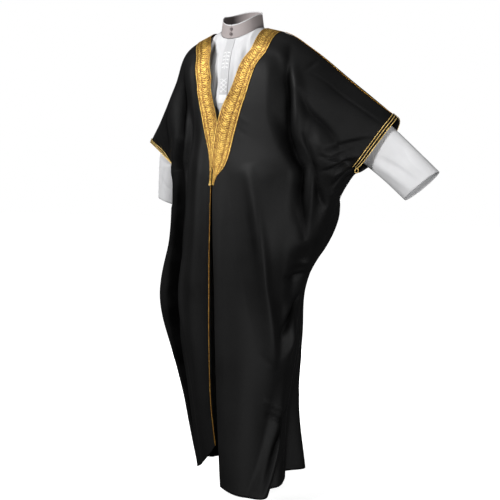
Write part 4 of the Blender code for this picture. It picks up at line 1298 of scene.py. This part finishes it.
# %% Thobe front and back
THOBE_ROWS = (22, 12, 14, 14, 16, 16, 16, 16)
THOBE_ARC_COLUMNS = 14
THOBE_REST_COLUMNS = 24
PLACKET_WIDTH = 0.030
PLACKET_COLUMNS = 10
THOBE_CREASES = [
    Crease("gather 1", [(0.15, 0.18), (1.2, 0.22), (2.6, 0.26)], 0.0038, 0.0055),
    Crease("gather 2", [(0.1, 0.26), (1, 0.3), (2.2, 0.36)], -0.0034, 0.0055),
    Crease("gather 3", [(0.15, 0.33), (0.9, 0.38), (1.8, 0.44)], 0.0034, 0.0065),
    Crease("chest line", [(1, 0.6), (2.2, 0.48), (3.6, 0.36)], -0.002, 0.009),
    Crease("chest ridge", [(1.4, 0.62), (2.6, 0.5), (3.8, 0.4)], 0.0022, 0.009),
    Crease("fold beside the placket", [(0.3, 0.13), (1.4, 0.13), (2.8, 0.14),
        (4.2, 0.15)], -0.003, 0.004, 0.3),
    Crease("chest under the right band", [(0.3, 0.66), (1.3, 0.58), (2.2, 0.5),
        (3.4, 0.34)], 0.017, 0.026),
]
THOBE_FRONT_PANEL = Panel(THOBE, "closed front", THOBE_FOLDS, THOBE_CREASES, FORWARD, 21)
THOBE_BACK_PANEL = Panel(THOBE, "back", THOBE_FOLDS, [], REARWARD, 22)
THOBE_CUT = Cut(0.56, 1.38, 0.60, "hung", ["thobe_collar_sheet"])
VT = row_levels(THOBE_ROWS)


def placket_edge(face, v):
    """The place t of the placket's edge at each level."""
    return (PLACKET_WIDTH / 2 / (base_surface(THOBE, face, 0.05, v)[:, 0] / 0.05))[:, None]


def whole(points):
    """Half a grid with its mirror image before it."""
    return np.concatenate([(points * (-1, 1, 1))[:, :0:-1], points], axis=1)


for node, panel in (("thobe_front", THOBE_FRONT_PANEL), ("thobe_back", THOBE_BACK_PANEL)):
    n = THOBE.arc_share
    near = placket_edge(panel.face, VT)
    under = near * shares(PLACKET_COLUMNS // 2)[None, :]
    arc = near + (n - near) * shares(THOBE_ARC_COLUMNS)[None, 1:]
    rest = np.linspace(n, 1, THOBE_REST_COLUMNS + 1)[None, 1:] + 0 * near
    half, _ = panel_points(panel, np.concatenate([under, arc, rest], axis=1), VT[:, None])
    hang_sheet(node, whole(half), panel.outward, THOBE_CLOTH, THOBE_CUT, ["top", "first", "last"])

# %% [markdown]
# ## The thobe's sleeves
# Each sleeve is a tube of oval rings along the arm. Cloth bends at the elbow, so the inner side of the bend
# gathers into creases that run round the arm, and one long crease runs down the left sleeve, where the
# cloth hangs from the wrist. Here a crease's places are ring numbers and shares of a turn.

# %% Sleeves
SLEEVE_ROWS = 130
SLEEVE_COLUMNS = 72
SLEEVE_UNEVEN = 0.0010
LEFT_TUBE_CREASES = [
    Crease("long crease", [(5.2, 0.3), (6, 0.26), (7, 0.22)], -0.006, 0.01, 0.3),
    Crease("lip under it", [(5.2, 0.36), (6, 0.33), (7, 0.3)], 0.004, 0.012),
    Crease("short crease", [(5.6, 0.12), (6.3, 0.16), (6.9, 0.15)], -0.003, 0.008),
    Crease("elbow crease 1", [(3.8, 0.2), (3.9, 0.4), (3.8, 0.6)], -0.005, 0.008),
    Crease("elbow crease 2", [(4.2, 0.22), (4.3, 0.42), (4.3, 0.62)], -0.004, 0.009),
    Crease("back crease", [(4.8, 0.7), (5.8, 0.74), (6.9, 0.72)], -0.004, 0.01),
]
RIGHT_TUBE_CREASES = [
    Crease("elbow crease 1", [(4.6, 0.1), (4.7, 0.25), (4.6, 0.42)], -0.003, 0.006),
    Crease("elbow crease 2", [(5.2, 0.12), (5.4, 0.28), (5.3, 0.44)], -0.003, 0.006),
    Crease("wrist crease", [(6.1, 0.16), (6.4, 0.28), (6.6, 0.42)], -0.0025, 0.006),
    Crease("long crease", [(5.6, 0.24), (6.4, 0.22), (7, 0.24)], -0.003, 0.007),
]
LEFT_SLEEVE_CUT = Cut(0.52, 0.64, 0.22, "hung", ["bisht_front_left_sheet"])
RIGHT_SLEEVE_CUT = Cut(0.52, 0.54, 0.12, "hung", ["bisht_front_right_sheet"])


def sleeve_points(rings, steps, turn):
    """Points at ring numbers and turns, from 0 at the tube's top through the front to 1 at its top."""
    values = np.array([r[1:] for r in rings], float)
    x, y, z, height, depth, lean = (smooth(range(len(rings)), values[:, i], steps) for i in range(6))
    up_x, up_z = np.sin(np.radians(lean)), np.cos(np.radians(lean))
    angle = turn * 2 * math.pi
    along_x = x + height * up_x * np.cos(angle)
    return np.stack([along_x, y - depth * np.sin(angle), z + height * up_z * np.cos(angle)], -1)


def sleeve_sheet(node, rings, creases, seed, cut):
    steps = np.linspace(0, len(rings) - 1, SLEEVE_ROWS)[:, None]
    base = sleeve_points(rings, steps, shares(SLEEVE_COLUMNS)[None, :])
    normals = np.cross(np.gradient(base, axis=1), np.gradient(base, axis=0))
    normals[:, 0] = normals[:, -1] = normals[:, 0] + normals[:, -1]
    normals = unit(normals)
    normals = normals * np.sign(((base - base.mean(axis=1, keepdims=True)) * normals).sum())

    def line_on(path):
        return sleeve_points(rings, path[:, 0], path[:, 1])

    fine = crease_depth(base, normals, line_on, creases) + unevenness(base, SLEEVE_UNEVEN, seed)
    points = base + normals * (fine * ease((steps - 1) / 0.8))[..., None]
    points[:, -1] = points[:, 0]
    hang_sheet(node, points, None, THOBE_CLOTH, cut, [])


sleeve_sheet("thobe_sleeve_left", SLEEVE_LEFT, LEFT_TUBE_CREASES, 31, LEFT_SLEEVE_CUT)
sleeve_sheet("thobe_sleeve_right", SLEEVE_RIGHT, RIGHT_TUBE_CREASES, 32, RIGHT_SLEEVE_CUT)

# %% [markdown]
# ## The stand collar
# The collar is a strip that meets itself at the front. Two rows of stitches hold its edges, and its top
# rows take the whiter cotton of the body.

# %% The stand collar
COLLAR_HEIGHT = 0.045
COLLAR_REST = 0.0012
COLLAR_TAPER = 0.08
WHITE_TOP_ROWS = 3
COLLAR_SPLIT = 0.0004
COLLAR_ROWS = 44
COLLAR_COLUMNS = 240
COLLAR_UNEVEN = 0.0003
EDGE_ROLL = 0.0007
STITCH_ROWS = (0.10, 0.86)
COTTON_STITCH = 0.0030
STITCH_DIP = 0.00035
STITCH_SWING = 0.00025
COLLAR_CUT = Cut(0.47, 0.046, 0.0200, "stretched", ["thobe_front_sheet", "thobe_back_sheet"])


def narrowing(height):
    """The collar's share of its width at a height above the neckline."""
    return 1 - COLLAR_TAPER * height / COLLAR_HEIGHT


def collar_ring(height, count):
    """The collar's edge at a height above the neckline, from the front's middle round to it again."""
    first = THOBE.sections[0]
    turn = np.linspace(0, 1, count // 4 + 1) * THOBE.arc_share
    front = top_line(THOBE, (first.edge_y, first.edge_z), turn)
    rear = top_line(THOBE, (first.back_y, first.back_z), turn[::-1])
    half = np.concatenate([front, rear[1:]])
    ring = np.concatenate([half, (half * (-1, 1, 1))[-2::-1]])
    return ring * (narrowing(height), narrowing(height), 1) + (0, 0, height)


heights = np.linspace(COLLAR_HEIGHT, COLLAR_REST, COLLAR_ROWS)
collar = np.stack([even(collar_ring(height, 400), COLLAR_COLUMNS) for height in heights])
collar_out = unit(collar * (1, 1, 0) - (0, -0.012, 0))
collar_across, collar_down = cloth_lengths(collar)
down_share = collar_down / collar_down[-1]
stitches = np.zeros(collar.shape[:2])
for row in STITCH_ROWS:
    dip = np.exp(-(((down_share - row) / 0.020) ** 2))
    stitches -= dip * (STITCH_DIP + STITCH_SWING * np.cos(2 * math.pi * collar_across / COTTON_STITCH))
edge_roll = EDGE_ROLL * np.exp(-((down_share / 0.05) ** 2))
collar = collar + collar_out * (stitches + edge_roll + unevenness(collar, COLLAR_UNEVEN, 41))[..., None]
collar[:, 0] += (COLLAR_SPLIT, 0, 0)
collar[:, -1] -= (COLLAR_SPLIT, 0, 0)
collar_piece = hang_sheet("thobe_collar", collar, None, COLLAR_CLOTH, COLLAR_CUT, [])
collar_piece.data.materials.append(COTTON)
for face in collar_piece.data.polygons:
    row = face.index // COLLAR_COLUMNS
    face.material_index = 1 if row >= COLLAR_ROWS - 1 - WHITE_TOP_ROWS else 0

# %% [markdown]
# ## The placket
# The placket carries embroidery in its own white thread, which shows by its relief, with painted shade in its
# gaps and a painted highlight on its tops: leaves on a stem, then a lattice, then a plain raised block, with
# a row of thread along each edge.

# %% The placket and its white embroidery
PLACKET_FOOT = 4.0
PLACKET_DROP = 0.0015
PLACKET_GAP = 0.0003
PLACKET_ACROSS = 48
PLACKET_STEPS = 260
WHITE_RELIEF = 0.0010
WHITE_STITCH = 0.0020
EDGE_ROW_FOOT = 0.190
ZONE_EDGE = 0.002
Zone = namedtuple("Zone", "pattern start end repeat")
ZONES = [
    Zone("leaves", 0.045, 0.108, 0.0125),
    Zone("lattice", 0.138, 0.184, 0.0140),
    Zone("plain", 0.190, 0.218, 0.0100),
]


def white_thread():
    """Thread in the cloth's own white, with painted shade in its gaps and a painted highlight on its tops."""
    made, tree, inputs = new_finish("white embroidery", (0.55, 0.55, 0.56), 0.7, sheen=0.05, specular=0.3)
    # Painted shade in the gaps and a painted highlight on the tops, led by the relief.
    paint(tree, inputs, relief_for_painted_light(tree), [(0.05, (0.49, 0.49, 0.50)), (0.7, (0.76, 0.76, 0.76))])
    bump(tree, inputs, noise(tree, FINE_SCALE), 0.4, COTTON_THREAD / 2)
    return made


PLACKET_CLOTH = Cloth(white_thread(), "thobe_cotton", 0.0012)


def placket_relief(s, length):
    """Leaves on a stem, then a lattice, then a plain raised block; s runs from 0 to 1 over the placket."""
    across = np.abs(s - 0.5) * 2
    thread = 0.75 + 0.25 * np.sin(2 * math.pi * (length + 0.01 * s) / WHITE_STITCH)
    height = 0 * s
    for zone in ZONES:
        inside = ease((length - zone.start) / ZONE_EDGE) * ease((zone.end - length) / ZONE_EDGE)
        step = ((length - zone.start) / zone.repeat) % 1
        if zone.pattern == "leaves":
            lean = step - 0.30 - 0.50 * across
            shape = np.clip(1 - (lean / 0.20) ** 2 - ((across - 0.45) / 0.36) ** 2, 0, 1) ** 0.5
            shape = np.maximum(shape, np.clip(1 - across / 0.07, 0, 1))
        elif zone.pattern == "lattice":
            bars = [np.abs((step + side * s * 0.9 * 2) % 1 - 0.5) for side in (1, -1)]
            shape = np.clip(1 - np.minimum(*bars) / 0.16, 0, 1) * (across < 0.8)
        else:
            shape = np.where(across < 0.9, 1.0, 0.0)
        height = np.maximum(height, shape * inside)
    edge = np.clip(1 - np.abs(across - 0.90) / 0.06, 0, 1) * (length < EDGE_ROW_FOOT)
    return np.maximum(height, 0.7 * edge) * thread


VP = even_levels(THOBE, "closed front", 0.01, PLACKET_FOOT, PLACKET_STEPS)
placket_t = placket_edge("closed front", VP) * shares(PLACKET_ACROSS // 2)[None, :]
placket, placket_out = (whole(half) for half in panel_points(THOBE_FRONT_PANEL, placket_t, VP[:, None]))
placket_down = cloth_lengths(placket)[1]
stitched = placket_relief(shares(PLACKET_ACROSS)[None, :], placket_down[:, :1])
top_drop = np.clip(1 - placket_down / 0.01, 0, 1)[..., None] * (0, 0, -PLACKET_DROP)
rise = (PLACKET_GAP + PLACKET_CLOTH.wall + WHITE_RELIEF * stitched)[..., None]
placket = placket + placket_out * rise + top_drop
lay("thobe_placket_embroidery", placket, FORWARD, PLACKET_CLOTH, "thobe_placket", relief=stitched)
print("placket length", round(float(placket_down[-1, 0]), 3))

# %% [markdown]
# ## Ring snaps
# Two snaps of dark pearl close the collar. Each is a flat ring round a low dome, turned from one profile by
# a spin.

# %% Ring snaps
# Each pair of the profile is a radius and a height.
SNAP_PROFILE = [
    (0.0, 0.0013), (0.0012, 0.0012), (0.0020, 0.0008), (0.0026, 0.0004), (0.0031, 0.0006), (0.0037, 0.0016),
    (0.0044, 0.0018), (0.0049, 0.0012), (0.0050, 0.0002),
]
SNAP_STEPS = 32
SNAP_OUT = 0.0016
SNAP_TILT = 0.08
PEARL_SCALE = 300.0


def pearl():
    made, tree, inputs = new_finish("pearl snap", (0.26, 0.22, 0.22), 0.4, specular=0.3)
    paint(tree, inputs, noise(tree, PEARL_SCALE), [(0.3, (0.10, 0.08, 0.08)), (0.7, (0.16, 0.13, 0.13))])
    return made


PEARL = pearl()


def snap(node, height):
    """Spins the profile and sets it on the front of the collar."""
    first = THOBE.sections[0]
    bm = bmesh.new()
    verts = [bm.verts.new((r, 0, h)) for r, h in SNAP_PROFILE]
    edges = [bm.edges.new(pair) for pair in zip(verts, verts[1:])]
    way = {"cent": (0, 0, 0), "axis": (0, 0, 1), "angle": 2 * math.pi, "steps": SNAP_STEPS}
    bmesh.ops.spin(bm, geom=verts + edges, use_merge=True, **way)
    bmesh.ops.remove_doubles(bm, verts=bm.verts, dist=0.00001)
    bmesh.ops.recalc_face_normals(bm, faces=bm.faces)
    turned = Vector((0, -1, SNAP_TILT)).to_track_quat("Z", "Y").to_matrix().to_4x4()
    turned.translation = (0.0, first.edge_y * narrowing(height) - SNAP_OUT, first.edge_z + height)
    bmesh.ops.transform(bm, verts=bm.verts, matrix=turned)
    mesh = bpy.data.meshes.new(node + "_snap")
    bm.to_mesh(mesh)
    bm.free()
    mesh.shade_smooth()
    if sum(p.normal.y * p.area for p in mesh.polygons) > 0:
        mesh.flip_normals()
    put_on(node + "_snap", mesh, PEARL, [node])


snap("collar_stud_upper", 0.031)
snap("collar_stud_lower", 0.015)
print("points in a snap's profile:", len(SNAP_PROFILE))

# %% [markdown]
# ## Cords
# Every cord is two strands laid round each other. Each strand is a curve with a round bevel that winds
# along the cord's line, so the twist catches the light as real cord does.

# %% Twisted cords
STRANDS = 2
STRAND_SIZE = 0.56
STRAND_OFFSET = 0.5
RADII_PER_TURN = 7
STEPS_PER_TURN = 8
CORD_RADIUS = 0.0012
CORD_GAP = 0.0003


def rope(name, lines, radius, cord, replaced):
    """Cords of several strands along lines, joined in one piece."""
    curve = bpy.data.curves.new(name, "CURVE")
    curve.dimensions = "3D"
    curve.bevel_depth = radius * STRAND_SIZE
    curve.bevel_resolution = 2
    curve.use_fill_caps = True
    step = radius * RADII_PER_TURN / STEPS_PER_TURN
    for line in lines:
        points = even(line, max(int(distances(line)[-1] / step), 4))
        tangent = unit(np.gradient(points, axis=0))
        up = unit(np.cross(tangent, (0.3, 0.9, 0.2)))
        over = np.cross(tangent, up)
        turn = np.arange(len(points)) / STEPS_PER_TURN * 2 * math.pi
        for strand in range(STRANDS):
            angle = turn + strand / STRANDS * 2 * math.pi
            aside = up * np.cos(angle)[:, None] + over * np.sin(angle)[:, None]
            wound = points + radius * STRAND_OFFSET * aside
            spline = curve.splines.new("POLY")
            spline.points.add(len(wound) - 1)
            spline.points.foreach_set("co", np.concatenate([wound, np.ones((len(wound), 1))], 1).ravel())
    shape = show(name, curve)
    mesh = bpy.data.meshes.new_from_object(shape.evaluated_get(bpy.context.evaluated_depsgraph_get()))
    bpy.data.objects.remove(shape)
    mesh.materials.clear()
    mesh.name = name
    mesh.shade_smooth()
    print(name, "triangles", sum(len(p.vertices) - 2 for p in mesh.polygons))
    put_on(name, mesh, cord.finish, replaced)


edge_levels = np.linspace(6.0, 11.0, 160)[:, None]
edge_right, edge_right_out = panel_points(RIGHT_PANEL, np.linspace(0, 0.03, 3)[None, :], edge_levels)
front_line = edge_right[:, 0] + edge_right_out[:, 0] * (CORD_GAP + CORD_RADIUS)
rope("front_cord_right_twist", [front_line], CORD_RADIUS, GOLD_CORD, ["front_cord_right"])
beyond_band = slice(BAND_COLUMNS + 1, -3)
for node, points, normals, rear in (
    ("shoulder_cord_left", left, left_out, back_left_out[:, ARC_COLUMNS:]),
    ("shoulder_cord_right", right, right_out, back_right_out[:, ARC_COLUMNS:]),
):
    up = unit(normals[0, beyond_band] + rear[0, beyond_band])
    line = points[0, beyond_band] + up * (3 * CORD_GAP + CORD_RADIUS)
    rope(node + "_twist", [line], CORD_RADIUS, GOLD_CORD, [node])

# %% [markdown]
# ## The sleeves' trims
# Each open end of the cloak's sleeve is edged with a flat strip between two pale gold cords. At the foot of
# the left one the cords end in a small loop.

# %% Sleeve trims
TRIM = Cloth(CREPE, "bisht_cloth", 0.0012)
TRIM_WIDTH = 0.017
TRIM_FOOT = 4.5
TRIM_CORD = 0.0013
TRIM_ACROSS = 6
TRIM_SHARE = 0.06
LOOP_SIZE = 0.007


def trim_lines(front_panel, rear_panel):
    """The trim's grid, from the underarm up the front, over the shoulder and down the back."""
    steps = TRIM_FOOT * (1 - np.cos(np.linspace(0, math.pi / 2, 90)))
    rows = []
    outs = []
    for panel, levels in ((front_panel, steps[::-1]), (rear_panel, steps[1:])):
        place = np.linspace(1 - TRIM_SHARE, 1, TRIM_ACROSS + 1)[None, :]
        points, _ = panel_points(panel, place, levels[:, None])
        width = np.linalg.norm(points[:, 0] - points[:, -1], axis=1)
        place = 1 - (1 - place) * np.minimum(TRIM_WIDTH / width, 2.5)[:, None]
        points, normals = panel_points(panel, place, levels[:, None])
        rows.append(points)
        outs.append(normals)
    outs[0][-1] = unit(outs[0][-1] + outs[1][0])
    return np.concatenate(rows), np.concatenate(outs)


for node, front_panel, rear_panel in (
    ("sleeve_trim_left", LEFT_PANEL, BACK_LEFT_PANEL),
    ("sleeve_trim_right", RIGHT_PANEL, BACK_RIGHT_PANEL),
):
    strip, strip_out = trim_lines(front_panel, rear_panel)
    lifted = strip + strip_out * (2 * CORD_GAP + TRIM.wall)
    lay(node + "_strip", lifted, strip_out.reshape(-1, 3).sum(axis=0), TRIM, node)
    over = strip_out * (2 * CORD_GAP + TRIM.wall + TRIM_CORD)
    lines = [strip[:, k] + over[:, k] for k in (0, 3, TRIM_ACROSS)]
    if front_panel is LEFT_PANEL:
        turn = np.linspace(0, 2 * math.pi, 26)[:, None]
        loop = (1 - np.cos(turn)) * (-0.3, 0, -1) + np.sin(turn) * (1, 0, -0.3) * 0.8
        lines.append(lines[2][0] + LOOP_SIZE * loop)
    rope(node + "_cords", lines, TRIM_CORD, PALE_CORD, [])

# %% [markdown]
# ## The knot at the foot of the V
# Where the bands meet, a pale cord is tied in a small round knot. A curve that winds three times through
# itself gives it.

# %% The knot
KNOT_RADIUS = 0.0050
KNOT_REST = 0.0012
turn = np.linspace(0, 2 * math.pi, 120)
wide = 2 + np.cos(3 * turn)
knot_line = np.stack([wide * np.cos(2 * turn), 1.1 * np.sin(3 * turn), wide * np.sin(2 * turn)], -1)
knot_centre = edge_right[0, 0] + edge_right_out[0, 0] * (2 * CORD_GAP + KNOT_REST + KNOT_RADIUS)
knot = knot_line * (KNOT_RADIUS - CORD_RADIUS) / 3 + knot_centre
rope("front_knot_cord", [knot], CORD_RADIUS, PALE_CORD, ["front_knot"])
